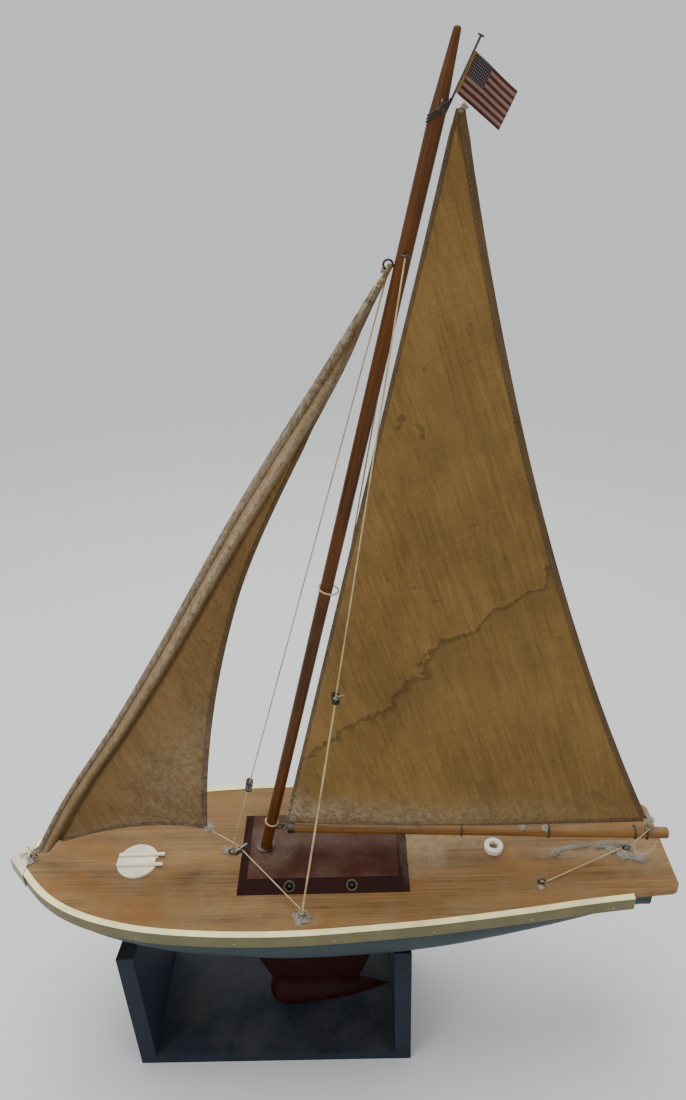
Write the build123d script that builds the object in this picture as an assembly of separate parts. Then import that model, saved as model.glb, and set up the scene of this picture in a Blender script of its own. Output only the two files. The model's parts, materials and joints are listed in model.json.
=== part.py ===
from build123d import *
import math
import os

# Free-sailing pond yacht with a mainsail and a jib, standing in its own wooden cradle.
# Millimetres.  +X points to the bow, +Y to port and +Z up.  The origin is on the floor, under the
# middle of the cradle.  A "station" is a distance aft of the bow tip, and a "height" is above the
# top of the deck.

# ---------------------------------------------------------------- hull
DECK_LENGTH = 580.0
BEAM = 169.0                # over the rub rails
HULL_DEPTH = 92.0           # top of the deck to the bottom of the canoe body
DECK_TOP = 220.0            # above the floor, with the boat in its cradle
DECK_THICKNESS = 5.5
HULL_WALL = 9.0
RAIL_WIDTH = 5.4
RAIL_HEIGHT = 12.6
RAIL_PROUD = 0.5            # rail top above the deck
RAIL_END_ALONG = 0.93       # share of the deck's length that the rails follow
RAIL_GLUE_GAP = 0.4         # between the rails and the hull's side
TRANSOM_CORNER_RADIUS = 8.0
BOW_ENTRY_ANGLE = 45.0      # each side of the centreline, at the bow tip

# Table of offsets: place along the deck, half breadth, depth (as shares) and deadrise in degrees.
HULL_LINES = [
    (0.0155, 0.115, 0.24, 50.0),
    (0.030, 0.220, 0.375, 50.0),
    (0.060, 0.430, 0.52, 49.0),
    (0.100, 0.625, 0.65, 47.0),
    (0.160, 0.800, 0.78, 43.0),
    (0.230, 0.915, 0.875, 35.0),
    (0.310, 0.975, 0.94, 25.0),
    (0.390, 0.998, 0.98, 16.0),
    (0.470, 0.990, 1.00, 10.0),
    (0.550, 0.955, 0.995, 6.0),
    (0.630, 0.912, 0.96, 4.0),
    (0.710, 0.852, 0.875, 3.0),
    (0.790, 0.784, 0.74, 2.0),
    (0.870, 0.708, 0.56, 1.0),
    (0.959, 0.645, 0.37, 1.0),
]
TRANSOM_BREADTH = 0.625     # share of the half beam, at the deck's aft end
BILGE_FULLNESS = 0.55       # 0.55 makes an elliptical section

BOW_CAP_LENGTH = 17.0
BOW_CAP_WALL = 0.9

BEAM_PLACES = [0.26, 0.55, 0.75]    # deck beams, along the deck
DECK_BEAM_WIDTH = 12.0
DECK_BEAM_DEPTH = 6.5
RAIL_PIN_PLACES = [0.08, 0.22, 0.36, 0.5, 0.64, 0.78, 0.9]
RAIL_PIN_RADIUS = 0.7
RAIL_PIN_LENGTH = 11.0

# ---------------------------------------------------------------- cabin
CABIN_PLACE = 0.357         # its fore edge, along the deck
CABIN_LENGTH = 147.0
CABIN_WIDTH = 88.0
CABIN_HEIGHT = 9.5
CABIN_BEVEL = 9.0           # how far each side leans in
PORTHOLE_OFFSETS = [45.0, 98.0]     # aft of the cabin's fore edge
PORTHOLE_RADIUS = 4.9
PORTHOLE_HOLE_RADIUS = 3.3
PORTHOLE_DEPTH = 3.0
PORTHOLE_RIM_HEIGHT = 0.8

# ---------------------------------------------------------------- spars
MAST_PLACE = 0.3916         # where its axis meets the deck
MAST_RAKE = 13.7            # degrees aft of upright
MAST_DIAMETER = 9.5
MAST_LENGTH = 638.0         # above the deck, along its axis
MAST_TAPER_LENGTH = 42.0
MAST_TIP_RADIUS = 2.1
MAST_FOOT_DEPTH = 24.0      # below the deck's top
STEP_BLOCK = (30.0, 26.0, 24.0)
COLLAR_RADIUS = 8.2
COLLAR_THICKNESS = 1.0
BOOM_DIAMETER = 9.5
BOOM_LENGTH = 324.0
BOOM_HEIGHT = 33.0
BOOM_SWING_AT_REST = 3.0    # degrees to port
FERRULE_LENGTH = 5.0
FERRULE_WALL = 0.7
LUFF_OFFSET = 9.3           # from the mast's axis to the sail's fore edge and the swing axis
FIT_GAP = 0.3               # between pieces that move on each other

# ---------------------------------------------------------------- sails and flag
SAIL_THICKNESS = 1.0
MAIN_TACK_LENGTH = 46.0     # along the mast from the deck to the tack
MAIN_LUFF_LENGTH = 566.5
MAIN_FOOT_LENGTH = 308.0
MAIN_FOOT_ABOVE_BOOM = 1.6
MAIN_CLEW_RISE = 6.5
MAIN_HEAD_WIDTH = 5.0
MAIN_LEECH_HOLLOW = 17.0
JIB_TACK = (26.0, 9.0)      # station and height
JIB_HEAD = (333.0, 488.5)
JIB_HEAD_WIDTH = 3.0
JIB_CLEW = (180.0, 33.0)
JIB_LEECH_HOLLOW = 30.0
JIB_FOOT_ARCH = 22.0
FLAG_HOIST = 21.5
FLAG_FLY = 30.0
FLAG_DROOP = 39.0           # degrees below level
FLAG_PIN_LENGTH = 49.5         # outside its seat in the mast
FLAG_PIN_SEAT = 3.5
FLAG_BELOW_HEAD = 7.5         # from the pin's head to the flag
FLAG_PIN_RADIUS = 0.65
FLAG_PIN_LEAN = 26.5        # degrees aft of upright
FLAG_PIN_MAST_LENGTH = 584.0
FLAG_PIN_HEAD_RADIUS = 2.0

# ---------------------------------------------------------------- rigging
EYE_WIRE_RADIUS = 0.7
EYE_RING_RADIUS = 2.8
EYE_SHANK = 9.0
SMALL_EYE_SHANK = 3.4
CORD_DIAMETER = 1.0
BOW_EYE_PLACE = 0.036
STAY_EYE_PLACE = 0.343
CHAINPLATE_PLACE = 0.455
CHAINPLATE_INSET = 12.0     # inside the deck's edge
FORE_SHEET_EYE = (0.802, 39.0)
AFT_SHEET_EYE = (0.9414, 6.0)
HOUND_LENGTH = 521.0        # shroud eyes, along the mast from the deck
STAY_HOUND_LENGTH = 513.0
MASTHEAD_LENGTH = 600.0
LUFF_RING_LENGTH = 283.0
TACK_RING_LENGTH = 40.7
LASHING_RADIUS = 0.6
BOWSIE_LENGTH = 15.0
BOWSIE_WIDTH = 6.0
BOWSIE_THICKNESS = 1.6
BOWSIE_HOLE_RADIUS = 0.9
BOWSIE_HOLE_SPACING = 4.6
SHROUD_BOWSIE_SHARE = 0.404     # of the way up the shroud
STAY_BOWSIE_SHARE = 0.155
SHEET_BOWSIE = (209.0, 8.0, 15.0)   # station, port and height
BOOM_LASHING_STATIONS = [150.0, 224.0]     # aft of the boom's fore end
CLEW_LASHING = 306.0
SHEET_LASHING = 296.0

# ---------------------------------------------------------------- deck fittings
HATCH_PLACE = 0.1985
HATCH_PORT = 6.0
HATCH_RADIUS = 18.0
HATCH_THICKNESS = 1.3
HATCH_NOTCH = 7.0
STICK_DIAMETER = 3.0
STICK_LENGTH = 40.5
STICK_SPACING = 11.0
STICK_OVERHANG = 5.5
FAIRLEAD_PLACE = 0.743
FAIRLEAD_RADIUS = 8.5
FAIRLEAD_HOLE_RADIUS = 3.7
FAIRLEAD_HEIGHT = 5.0

# ---------------------------------------------------------------- keel
FIN_THICKNESS = 8.0
FIN_ROOT_PLACE = 0.3259     # fore corner, along the deck, at the root's depth
FIN_ROOT_DEPTH = 86.0
FIN_ROOT_LENGTH = 150.0
FIN_SLOPE_FORE = 20.6       # degrees, from upright
FIN_SLOPE_AFT = 19.5
BULB_PLACE = 0.3775         # the bulb's nose
BULB_LENGTH = 119.0
BULB_RADIUS = 16.0
BULB_AXIS_DEPTH = 189.0
BULB_WIDEST = 0.32          # share of its length
KEEL_BOLT_RADIUS = 2.0
KEEL_BOLT_OFFSETS = [36.0, 112.0]   # aft of the fin's fore root corner
KEEL_BOLT_IN_FIN = 45.0
KEEL_BOLT_ABOVE_FLOOR = 9.0
BOLT_PAD_HEIGHT = 5.0        # flat seats for the washers on the hull's floor
WASHER_RADIUS = 6.0
WASHER_THICKNESS = 1.0
NUT_RADIUS = 4.2
NUT_THICKNESS = 3.2

# ---------------------------------------------------------------- stand
STAND_LENGTH = 258.0
STAND_DEPTH = 114.0
STAND_HEIGHT = 157.0
STAND_END_THICKNESS = 15.0
STAND_BASE_THICKNESS = 11.0
STAND_TOP_SLOPE = 13.0      # degrees down towards the middle
STAND_PLACE = 0.1672        # fore face, along the deck
CRADLE_GAP = 0.35
SCREW_RADIUS = 1.8
SCREW_HEAD_RADIUS = 3.6
SCREW_LENGTH = 40.0
SCREW_SPACING = 70.0

HALF_BEAM = BEAM / 2
BOW_X = STAND_LENGTH / 2 + STAND_PLACE * DECK_LENGTH
SHEER_DEPTH = RAIL_HEIGHT - RAIL_PROUD


def station(distance, port=0.0, height=0.0):
    """Point at a distance aft of the bow tip, to port of the middle and above the deck."""
    return Vector(BOW_X - distance, port, DECK_TOP + height)


def along(share, port=0.0, height=0.0):
    """The same, with the distance as a share of the deck's length."""
    return station(share * DECK_LENGTH, port, height)


def half_breadth(edge, x):
    """Half breadth of an outline edge at x, found by halving."""
    low, high = 0.0, 1.0
    for _ in range(40):
        middle = (low + high) / 2
        if edge.position_at(middle).X > x:
            low = middle
        else:
            high = middle
    return edge.position_at(low).Y


def plan_face(edge):
    """Face inside a port outline edge and its mirror image, at Z = 0."""
    stern = edge.position_at(1)
    stern_line = Edge.make_line(stern, Vector(stern.X, -stern.Y, 0))
    return make_face([edge, stern_line, edge.mirror(Plane.XZ)])


def slab(face, low, high):
    """Face at Z = 0 made a slab between two heights above the deck."""
    return Pos(0, 0, DECK_TOP + low) * extrude(face, high - low, dir=(0, 0, 1))


def rod(start, end, radius):
    """Round rod between two points."""
    run = end - start
    plane = Plane(origin=start, z_dir=run.normalized())
    return plane.location * Cylinder(radius, run.length, align=(Align.CENTER, Align.CENTER, Align.MIN))


def save(name, *shapes):
    """Write one node: all its solids in one STEP file."""
    solids = [solid for shape in shapes for solid in shape.solids()]
    part = Compound(children=solids) if len(solids) > 1 else solids[0]
    part.label = name
    export_step(part, f"parts/{name}.step")


# ---------------------------------------------------------------- hull lines
def outline_edge():
    """Outside of the port rub rail, from the bow tip to the transom."""
    points = [along(0)]
    points += [along(place, breadth * HALF_BEAM) for place, breadth, _, _ in HULL_LINES[1:]]
    points += [along(1, TRANSOM_BREADTH * HALF_BEAM)]
    points = [Vector(point.X, point.Y, 0) for point in points]
    entry = math.radians(BOW_ENTRY_ANGLE)
    return Edge.make_spline(points, tangents=[(-math.cos(entry), math.sin(entry), 0), (-1, -0.02, 0)])


def inset_edge(edge, inset):
    """Outline edge moved inboard, square to itself."""
    tip = edge.position_at(0)
    entry = math.radians(BOW_ENTRY_ANGLE)
    points = [tip - Vector(inset / math.sin(entry), 0, 0)]
    for step in range(2, 25):
        share = (step / 24) ** 1.3
        if share * edge.length < 2.5 * inset:
            continue
        tangent = edge.tangent_at(share)
        normal = Vector(-tangent.Y, tangent.X, 0)
        points.append(edge.position_at(share) + normal * inset)
    points[-1] = Vector(edge.position_at(1).X, points[-1].Y, 0)
    return Edge.make_spline(points)


def section(edge, place, depth, deadrise, grow):
    """Face of the hull across the boat: upright topsides and two bilge curves that meet at the keel."""
    centre = along(place)
    breadth = half_breadth(edge, centre.X) + grow
    top = -SHEER_DEPTH
    bottom = -depth * HULL_DEPTH - grow
    drop = (top - bottom) * BILGE_FULLNESS
    rise = BILGE_FULLNESS * breadth * math.tan(math.radians(deadrise))
    rise = min(rise, 0.5 * (top - bottom))
    bilges = []
    topsides = []
    for side in (1, -1):
        rim = Vector(centre.X, side * breadth, DECK_TOP - DECK_THICKNESS)
        topsides.append(Edge.make_line(rim, Vector(centre.X, side * breadth, DECK_TOP + top)))
        controls = [
            (side * breadth, top),
            (side * breadth, top - drop),
            (side * breadth * BILGE_FULLNESS, bottom + rise),
            (0, bottom),
        ]
        points = [Vector(centre.X, port, DECK_TOP + height) for port, height in controls]
        bilges.append(Edge.make_bezier(*points))
    lid = Edge.make_line(topsides[1].position_at(0), topsides[0].position_at(0))
    return make_face([*topsides, *bilges, lid])


def canoe_body(edge, lines, grow):
    """Solid below the deck, through its sections."""
    return loft([section(edge, place, depth, deadrise, grow) for place, _, depth, deadrise in lines])


outer_edge = outline_edge()
inner_edge = inset_edge(outer_edge, RAIL_WIDTH)
cavity_edge = inset_edge(outer_edge, RAIL_WIDTH + HULL_WALL)
outer_plan = plan_face(outer_edge)
inner_plan = plan_face(inner_edge)


def lengthwise(shape, fore, aft):
    """Part of a shape between two places along the deck."""
    length = (aft - fore) * DECK_LENGTH
    middle = along((fore + aft) / 2)
    return shape & Pos(middle.X, 0, DECK_TOP) * Box(length, 2 * BEAM, 4 * HULL_DEPTH)


hull_solid = canoe_body(inner_edge, HULL_LINES, -RAIL_GLUE_GAP)

HOLLOW_FORE = 0.10
HOLLOW_AFT = 0.86
wall_share = HULL_WALL / HULL_DEPTH
hollow_lines = [
    (place, breadth, depth - wall_share, deadrise)
    for place, breadth, depth, deadrise in HULL_LINES
    if HOLLOW_FORE < place < HOLLOW_AFT
]
hollow = canoe_body(cavity_edge, hollow_lines, 0)

# ---------------------------------------------------------------- mast frame
rake = math.radians(MAST_RAKE)
mast_foot = along(MAST_PLACE)
mast_up = Vector(-math.sin(rake), 0, math.cos(rake))
mast_aft = Vector(-math.cos(rake), 0, -math.sin(rake))
mast_plane = Plane(origin=mast_foot, x_dir=mast_aft, z_dir=mast_up)
MAST_RADIUS = MAST_DIAMETER / 2


def on_mast(length, aft=0.0, port=0.0):
    """Point at a length up the mast's axis, then aft of it and to port."""
    return mast_foot + mast_up * length + mast_aft * aft + Vector(0, port, 0)


def make_mast():
    """Dowel with a tapered, rounded top and its foot in the step block."""
    shoulder = MAST_LENGTH - MAST_TAPER_LENGTH
    up = (Align.CENTER, Align.CENTER, Align.MIN)
    spar = Pos(0, 0, -MAST_FOOT_DEPTH) * Cylinder(MAST_RADIUS, shoulder + MAST_FOOT_DEPTH, align=up)
    spar += Pos(0, 0, shoulder) * Cone(MAST_RADIUS, MAST_TIP_RADIUS, MAST_TAPER_LENGTH, align=up)
    spar = fillet(spar.edges().group_by(Axis.Z)[-1], MAST_TIP_RADIUS * 0.8)
    return mast_plane.location * Rot(0, 0, 45) * spar


mast = make_mast()
mast_hole = rod(on_mast(-MAST_FOOT_DEPTH), on_mast(HULL_DEPTH), MAST_RADIUS)


# ---------------------------------------------------------------- small parts
def screw_eye(base, up, shank, ring_normal):
    """Ring of wire on a shank.  Base is on the surface, and the shank goes below it."""
    centre = base + up * (EYE_RING_RADIUS + EYE_WIRE_RADIUS)
    ring = Plane(origin=centre, z_dir=ring_normal).location * Torus(EYE_RING_RADIUS, EYE_WIRE_RADIUS)
    return ring + rod(base - up * shank, base + up * EYE_WIRE_RADIUS, EYE_WIRE_RADIUS)


def ring_round(centre, axis, inside, wire):
    """Turn of thread round a spar."""
    return Plane(origin=centre, z_dir=axis).location * Torus(inside + wire, wire)


def bowsie(centre, run, across, holes):
    """Flat plate with rounded ends and holes, square to the cord through its middle hole."""
    plane = Plane(origin=centre, x_dir=across, z_dir=run)
    plate = extrude(SlotOverall(BOWSIE_LENGTH, BOWSIE_WIDTH), BOWSIE_THICKNESS / 2, both=True)
    for place in holes:
        plate -= Pos(place * BOWSIE_HOLE_SPACING, 0, 0) * Cylinder(BOWSIE_HOLE_RADIUS, 3 * BOWSIE_THICKNESS)
    return plane.location * plate


UP = Vector(0, 0, 1)
ACROSS = Vector(0, 1, 0)
FORE_AFT = Vector(1, 0, 0)
CORD_RADIUS = CORD_DIAMETER / 2
RING_TOP = 2 * EYE_RING_RADIUS + EYE_WIRE_RADIUS

# ---------------------------------------------------------------- deck eyes
deck_eye_points = {
    "bow_eye": along(BOW_EYE_PLACE),
    "stay_eye": along(STAY_EYE_PLACE),
    "aft_sheet_eye": along(AFT_SHEET_EYE[0], AFT_SHEET_EYE[1]),
    "fore_sheet_eye": along(FORE_SHEET_EYE[0], FORE_SHEET_EYE[1]),
}
chainplate_port = half_breadth(inner_edge, along(CHAINPLATE_PLACE).X) - CHAINPLATE_INSET
chainplate_points = [along(CHAINPLATE_PLACE, side * chainplate_port) for side in (1, -1)]
deck_eyes = {name: screw_eye(base, UP, EYE_SHANK, ACROSS) for name, base in deck_eye_points.items()}
chainplates = [screw_eye(base, UP, EYE_SHANK, ACROSS) for base in chainplate_points]
bow_cap_height = RAIL_PROUD + BOW_CAP_WALL

# ---------------------------------------------------------------- cabin
cabin_fore = CABIN_PLACE * DECK_LENGTH
cabin_middle = cabin_fore + CABIN_LENGTH / 2
cabin_base = Plane(station(cabin_middle)) * Rectangle(CABIN_LENGTH, CABIN_WIDTH)
cabin_lid = Plane(station(cabin_middle, 0, CABIN_HEIGHT)) * Rectangle(
    CABIN_LENGTH - 2 * CABIN_BEVEL, CABIN_WIDTH - 2 * CABIN_BEVEL
)
cabin = loft([cabin_base, cabin_lid])
porthole_rims = []
for side in (1, -1):
    normal = Vector(0, side * CABIN_HEIGHT, CABIN_BEVEL).normalized()
    for distance in PORTHOLE_OFFSETS:
        centre = station(cabin_fore + distance, side * (CABIN_WIDTH - CABIN_BEVEL) / 2, CABIN_HEIGHT / 2)
        seat = rod(centre - normal * PORTHOLE_DEPTH, centre + normal * CABIN_HEIGHT, PORTHOLE_HOLE_RADIUS)
        cabin -= seat
        rim = rod(centre, centre + normal * PORTHOLE_RIM_HEIGHT, PORTHOLE_RADIUS)
        rim = rim - seat
        porthole_rims.append(fillet(rim.edges().group_by(SortBy.LENGTH)[-1], PORTHOLE_RIM_HEIGHT / 3))
cabin -= mast_hole
collar_base = station(MAST_PLACE * DECK_LENGTH + CABIN_HEIGHT * math.tan(rake), 0, CABIN_HEIGHT)
collar = Plane(collar_base).location * Cylinder(
    COLLAR_RADIUS, COLLAR_THICKNESS, align=(Align.CENTER, Align.CENTER, Align.MIN)
)
collar -= mast_hole

# ---------------------------------------------------------------- keel
fin_fore = FIN_ROOT_PLACE * DECK_LENGTH
fin_aft = fin_fore + FIN_ROOT_LENGTH
FIN_OVERLAP = 30.0          # extra above the root, cut away by the hull
fin_drop = BULB_AXIS_DEPTH - FIN_ROOT_DEPTH
fore_slope = math.tan(math.radians(FIN_SLOPE_FORE))
aft_slope = math.tan(math.radians(FIN_SLOPE_AFT))
fin_side = Polyline(
    station(fin_fore - FIN_OVERLAP * fore_slope, 0, -FIN_ROOT_DEPTH + FIN_OVERLAP),
    station(fin_aft + FIN_OVERLAP * aft_slope, 0, -FIN_ROOT_DEPTH + FIN_OVERLAP),
    station(fin_aft - fin_drop * aft_slope, 0, -BULB_AXIS_DEPTH),
    station(fin_fore + fin_drop * fore_slope, 0, -BULB_AXIS_DEPTH),
    close=True,
)
fin = extrude(make_face(fin_side), FIN_THICKNESS / 2, both=True)
sloping = [edge for edge in fin.edges() if abs(edge.tangent_at(0.5).Z) > 0.5]
fin = fillet(sloping, FIN_THICKNESS * 0.4)

bulb_nose = along(BULB_PLACE, 0, -BULB_AXIS_DEPTH)
widest = BULB_WIDEST * BULB_LENGTH
nose_arc = Edge.make_spline(
    [(0, 0), (-widest, BULB_RADIUS), (-BULB_LENGTH, 0)],
    tangents=[(0, 1), (-1, -0.32)],
    scale=True,
)
bulb_axis_line = Edge.make_line((-BULB_LENGTH, 0), (0, 0))
bulb = Pos(bulb_nose) * revolve(make_face([nose_arc, bulb_axis_line]), Axis.X)
fin -= bulb

keel_bolts = []
keel_nuts = []
keel_washers = []
bolt_bores = []
floor_height = -(HULL_DEPTH - HULL_WALL)
for distance in KEEL_BOLT_OFFSETS:
    bottom = station(fin_fore + distance, 0, -FIN_ROOT_DEPTH - KEEL_BOLT_IN_FIN)
    washer_seat = station(fin_fore + distance, 0, floor_height + BOLT_PAD_HEIGHT)
    top = washer_seat + UP * KEEL_BOLT_ABOVE_FLOOR
    bolt = rod(bottom, top, KEEL_BOLT_RADIUS)
    keel_bolts.append(bolt)
    bolt_bores.append(bolt)
    washer_top = washer_seat + UP * WASHER_THICKNESS
    keel_washers.append(rod(washer_seat, washer_top, WASHER_RADIUS) - bolt)
    nut = Plane(washer_top).location * extrude(RegularPolygon(NUT_RADIUS, 6), NUT_THICKNESS)
    keel_nuts.append(nut - bolt)
bolt_pads = [
    rod(
        station(fin_fore + distance, 0, floor_height - HULL_WALL / 4),
        station(fin_fore + distance, 0, floor_height + BOLT_PAD_HEIGHT),
        WASHER_RADIUS + 2,
    )
    for distance in KEEL_BOLT_OFFSETS
]

# ---------------------------------------------------------------- hull, deck and rails
step_top = -DECK_THICKNESS
step_block = Plane(station(MAST_PLACE * DECK_LENGTH - 3, 0, step_top)).location * Box(
    STEP_BLOCK[0], STEP_BLOCK[1], STEP_BLOCK[2], align=(Align.CENTER, Align.CENTER, Align.MAX)
)
step_block -= mast_hole

hull = hull_solid - hollow
for pad in bolt_pads:
    hull += pad
fin -= hull_solid
for bore in bolt_bores:
    hull -= bore
    fin -= bore

deck = slab(inner_plan, -DECK_THICKNESS, 0)
stern_corners = [
    edge for edge in deck.edges().filter_by(Axis.Z)
    if edge.center().X < along(1).X + 1
]
deck = fillet(stern_corners, TRANSOM_CORNER_RADIUS)
deck -= mast_hole

rail_ring = slab(outer_plan, -SHEER_DEPTH, RAIL_PROUD) - slab(inner_plan, -SHEER_DEPTH, RAIL_PROUD)
rail_ring = lengthwise(rail_ring, 0, RAIL_END_ALONG)
rail_halves = {}
for name, side in (("rub_rail_port", 1), ("rub_rail_starboard", -1)):
    half = Pos(0, side * BEAM, DECK_TOP) * Box(2 * DECK_LENGTH, 2 * BEAM, 4 * HULL_DEPTH)
    rail_halves[name] = rail_ring & half

rail_pins = []
for place in RAIL_PIN_PLACES:
    middle_height = RAIL_PROUD - RAIL_HEIGHT / 2 - 2.5
    x = along(place).X
    port = half_breadth(outer_edge, x)
    slope = (half_breadth(outer_edge, x + 1) - half_breadth(outer_edge, x - 1)) / 2
    inboard = Vector(slope, -1, 0).normalized()
    head = along(place, port, middle_height) - inboard * 0.05
    pin = rod(head, head + inboard * RAIL_PIN_LENGTH, RAIL_PIN_RADIUS)
    rail_pins.append(pin)
    rail_pins.append(pin.mirror(Plane.XZ))
for number, pin in enumerate(rail_pins):
    name = "rub_rail_port" if number % 2 == 0 else "rub_rail_starboard"
    rail_halves[name] -= pin
    hull -= pin

cap_plan = plan_face(inset_edge(outer_edge, -BOW_CAP_WALL))
cap_outside = slab(cap_plan, -SHEER_DEPTH - 2, bow_cap_height)
cap_inside = slab(outer_plan, -SHEER_DEPTH - 2, RAIL_PROUD)
bow_cap = cap_outside - cap_inside
cap_box_length = BOW_CAP_LENGTH + 10
bow_cap &= Pos(BOW_X - BOW_CAP_LENGTH + cap_box_length / 2, 0, DECK_TOP) * Box(cap_box_length, BEAM, 60)

deck_beams = []
for place in BEAM_PLACES:
    blank = Pos(along(place, 0, -DECK_THICKNESS - DECK_BEAM_DEPTH / 2)) * Box(
        DECK_BEAM_WIDTH, BEAM, DECK_BEAM_DEPTH
    )
    deck_beams.append(blank & hollow)

for eye in (*deck_eyes.values(), *chainplates):
    deck -= eye
    hull -= eye
bow_cap -= deck_eyes["bow_eye"]

# ---------------------------------------------------------------- mast fittings
mast_eye_base = on_mast(0, MAST_RADIUS)
gooseneck_length = (BOOM_HEIGHT + LUFF_OFFSET * math.sin(rake)) / math.cos(rake)
EYE_SIDE_STEP = 1.7         # each gooseneck ring's centre is this far from the swing axis
mast_ring_centre = on_mast(gooseneck_length, LUFF_OFFSET - EYE_SIDE_STEP)
mast_eye = Plane(origin=mast_ring_centre, z_dir=ACROSS).location * Torus(EYE_RING_RADIUS, EYE_WIRE_RADIUS)
mast_eye += rod(
    on_mast(gooseneck_length, MAST_RADIUS - SMALL_EYE_SHANK),
    on_mast(gooseneck_length, LUFF_OFFSET - EYE_SIDE_STEP - EYE_RING_RADIUS),
    EYE_WIRE_RADIUS,
)

shroud_eyes = []
for side in (1, -1):
    base = on_mast(HOUND_LENGTH, 0, side * MAST_RADIUS)
    shroud_eyes.append(screw_eye(base, ACROSS * side, SMALL_EYE_SHANK, mast_up))
stay_hound_eye = screw_eye(on_mast(STAY_HOUND_LENGTH, -MAST_RADIUS), -mast_aft, SMALL_EYE_SHANK, ACROSS)
masthead_eye = screw_eye(on_mast(MASTHEAD_LENGTH, 0, MAST_RADIUS - 0.3), ACROSS, SMALL_EYE_SHANK, mast_aft)
for eye in (mast_eye, *shroud_eyes, stay_hound_eye, masthead_eye):
    mast -= eye

pin_lean = math.radians(FLAG_PIN_LEAN)
pin_up = Vector(-math.sin(pin_lean), 0, math.cos(pin_lean))
pin_start = on_mast(FLAG_PIN_MAST_LENGTH, MAST_RADIUS - FLAG_PIN_SEAT)
pin_end = pin_start + pin_up * (FLAG_PIN_LENGTH + FLAG_PIN_SEAT)
flag_pin = rod(pin_start, pin_end, FLAG_PIN_RADIUS) + rod(pin_end, pin_end + pin_up * 0.8, FLAG_PIN_HEAD_RADIUS)
mast -= flag_pin

tack_lashing = ring_round(on_mast(TACK_RING_LENGTH), mast_up, MAST_RADIUS, LASHING_RADIUS)
luff_ring = ring_round(
    on_mast(LUFF_RING_LENGTH, (LUFF_OFFSET - MAST_RADIUS) / 2 - 0.6), mast_up, MAST_RADIUS + 2.0, LASHING_RADIUS
)

# ---------------------------------------------------------------- boom
swing_origin = on_mast(0, LUFF_OFFSET)
swing_axis = Axis(swing_origin, mast_up)
boom_start = on_mast(gooseneck_length, LUFF_OFFSET) - FORE_AFT * (EYE_SIDE_STEP + EYE_RING_RADIUS + 1.2)
BOOM_RADIUS = BOOM_DIAMETER / 2


def on_boom(distance, height=0.0, port=0.0):
    """Point at a distance aft of the boom's fore end, before the boom is swung."""
    return boom_start + Vector(-distance, port, height)


boom = rod(on_boom(0), on_boom(BOOM_LENGTH), BOOM_RADIUS)
boom = fillet(boom.edges().group_by(Axis.X)[0], 1.6)
ferrule = rod(on_boom(0.6), on_boom(0.6 + FERRULE_LENGTH), BOOM_RADIUS + FERRULE_WALL)
ferrule -= rod(on_boom(-1), on_boom(10), BOOM_RADIUS)
boom_ring_centre = on_boom(0) + FORE_AFT * (EYE_RING_RADIUS + 1.2)
boom_eye = Plane(origin=boom_ring_centre, z_dir=UP).location * Torus(EYE_RING_RADIUS, EYE_WIRE_RADIUS)
boom_eye += rod(on_boom(8), boom_ring_centre - FORE_AFT * EYE_RING_RADIUS, EYE_WIRE_RADIUS)
boom -= boom_eye
boom_lashings = [
    ring_round(on_boom(distance), FORE_AFT, BOOM_RADIUS, LASHING_RADIUS)
    for distance in (*BOOM_LASHING_STATIONS, CLEW_LASHING, SHEET_LASHING)
]

# ---------------------------------------------------------------- sails
tack = on_mast(MAIN_TACK_LENGTH, LUFF_OFFSET + 1.2)
head_fore = on_mast(MAIN_TACK_LENGTH + MAIN_LUFF_LENGTH - 12, MAST_RADIUS + 4.6)
head_aft = head_fore - FORE_AFT * MAIN_HEAD_WIDTH
foot_height = BOOM_HEIGHT + BOOM_RADIUS + MAIN_FOOT_ABOVE_BOOM
clew = Vector(tack.X - MAIN_FOOT_LENGTH, 0, DECK_TOP + foot_height + MAIN_CLEW_RISE)
tack_corner = Vector(tack.X, 0, DECK_TOP + foot_height)


def hollow_arc(start, end, hollow_depth, side):
    """Arc between two points in the centre plane, bowed off its chord to one side."""
    chord = (end - start).normalized()
    square = Vector(chord.Z, 0, -chord.X) * side
    return Edge.make_three_point_arc(start, (start + end) * 0.5 + square * hollow_depth, end)


def sail(edges):
    """Thin flat solid of a sail's outline in the centre plane."""
    return extrude(make_face(edges), SAIL_THICKNESS / 2, both=True)


mainsail = sail([
    Edge.make_line(tack_corner, head_fore),
    Edge.make_line(head_fore, head_aft),
    hollow_arc(head_aft, clew, MAIN_LEECH_HOLLOW, -1),
    Edge.make_line(clew, tack_corner),
])

jib_tack = station(JIB_TACK[0], 0, JIB_TACK[1])
jib_head = station(JIB_HEAD[0], 0, JIB_HEAD[1])
jib_head_aft = jib_head - FORE_AFT * JIB_HEAD_WIDTH
jib_clew = station(JIB_CLEW[0], 0, JIB_CLEW[1])
jib = sail([
    Edge.make_line(jib_tack, jib_head),
    Edge.make_line(jib_head, jib_head_aft),
    hollow_arc(jib_head_aft, jib_clew, JIB_LEECH_HOLLOW, -1),
    hollow_arc(jib_clew, jib_tack, JIB_FOOT_ARCH, -1),
])

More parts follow.
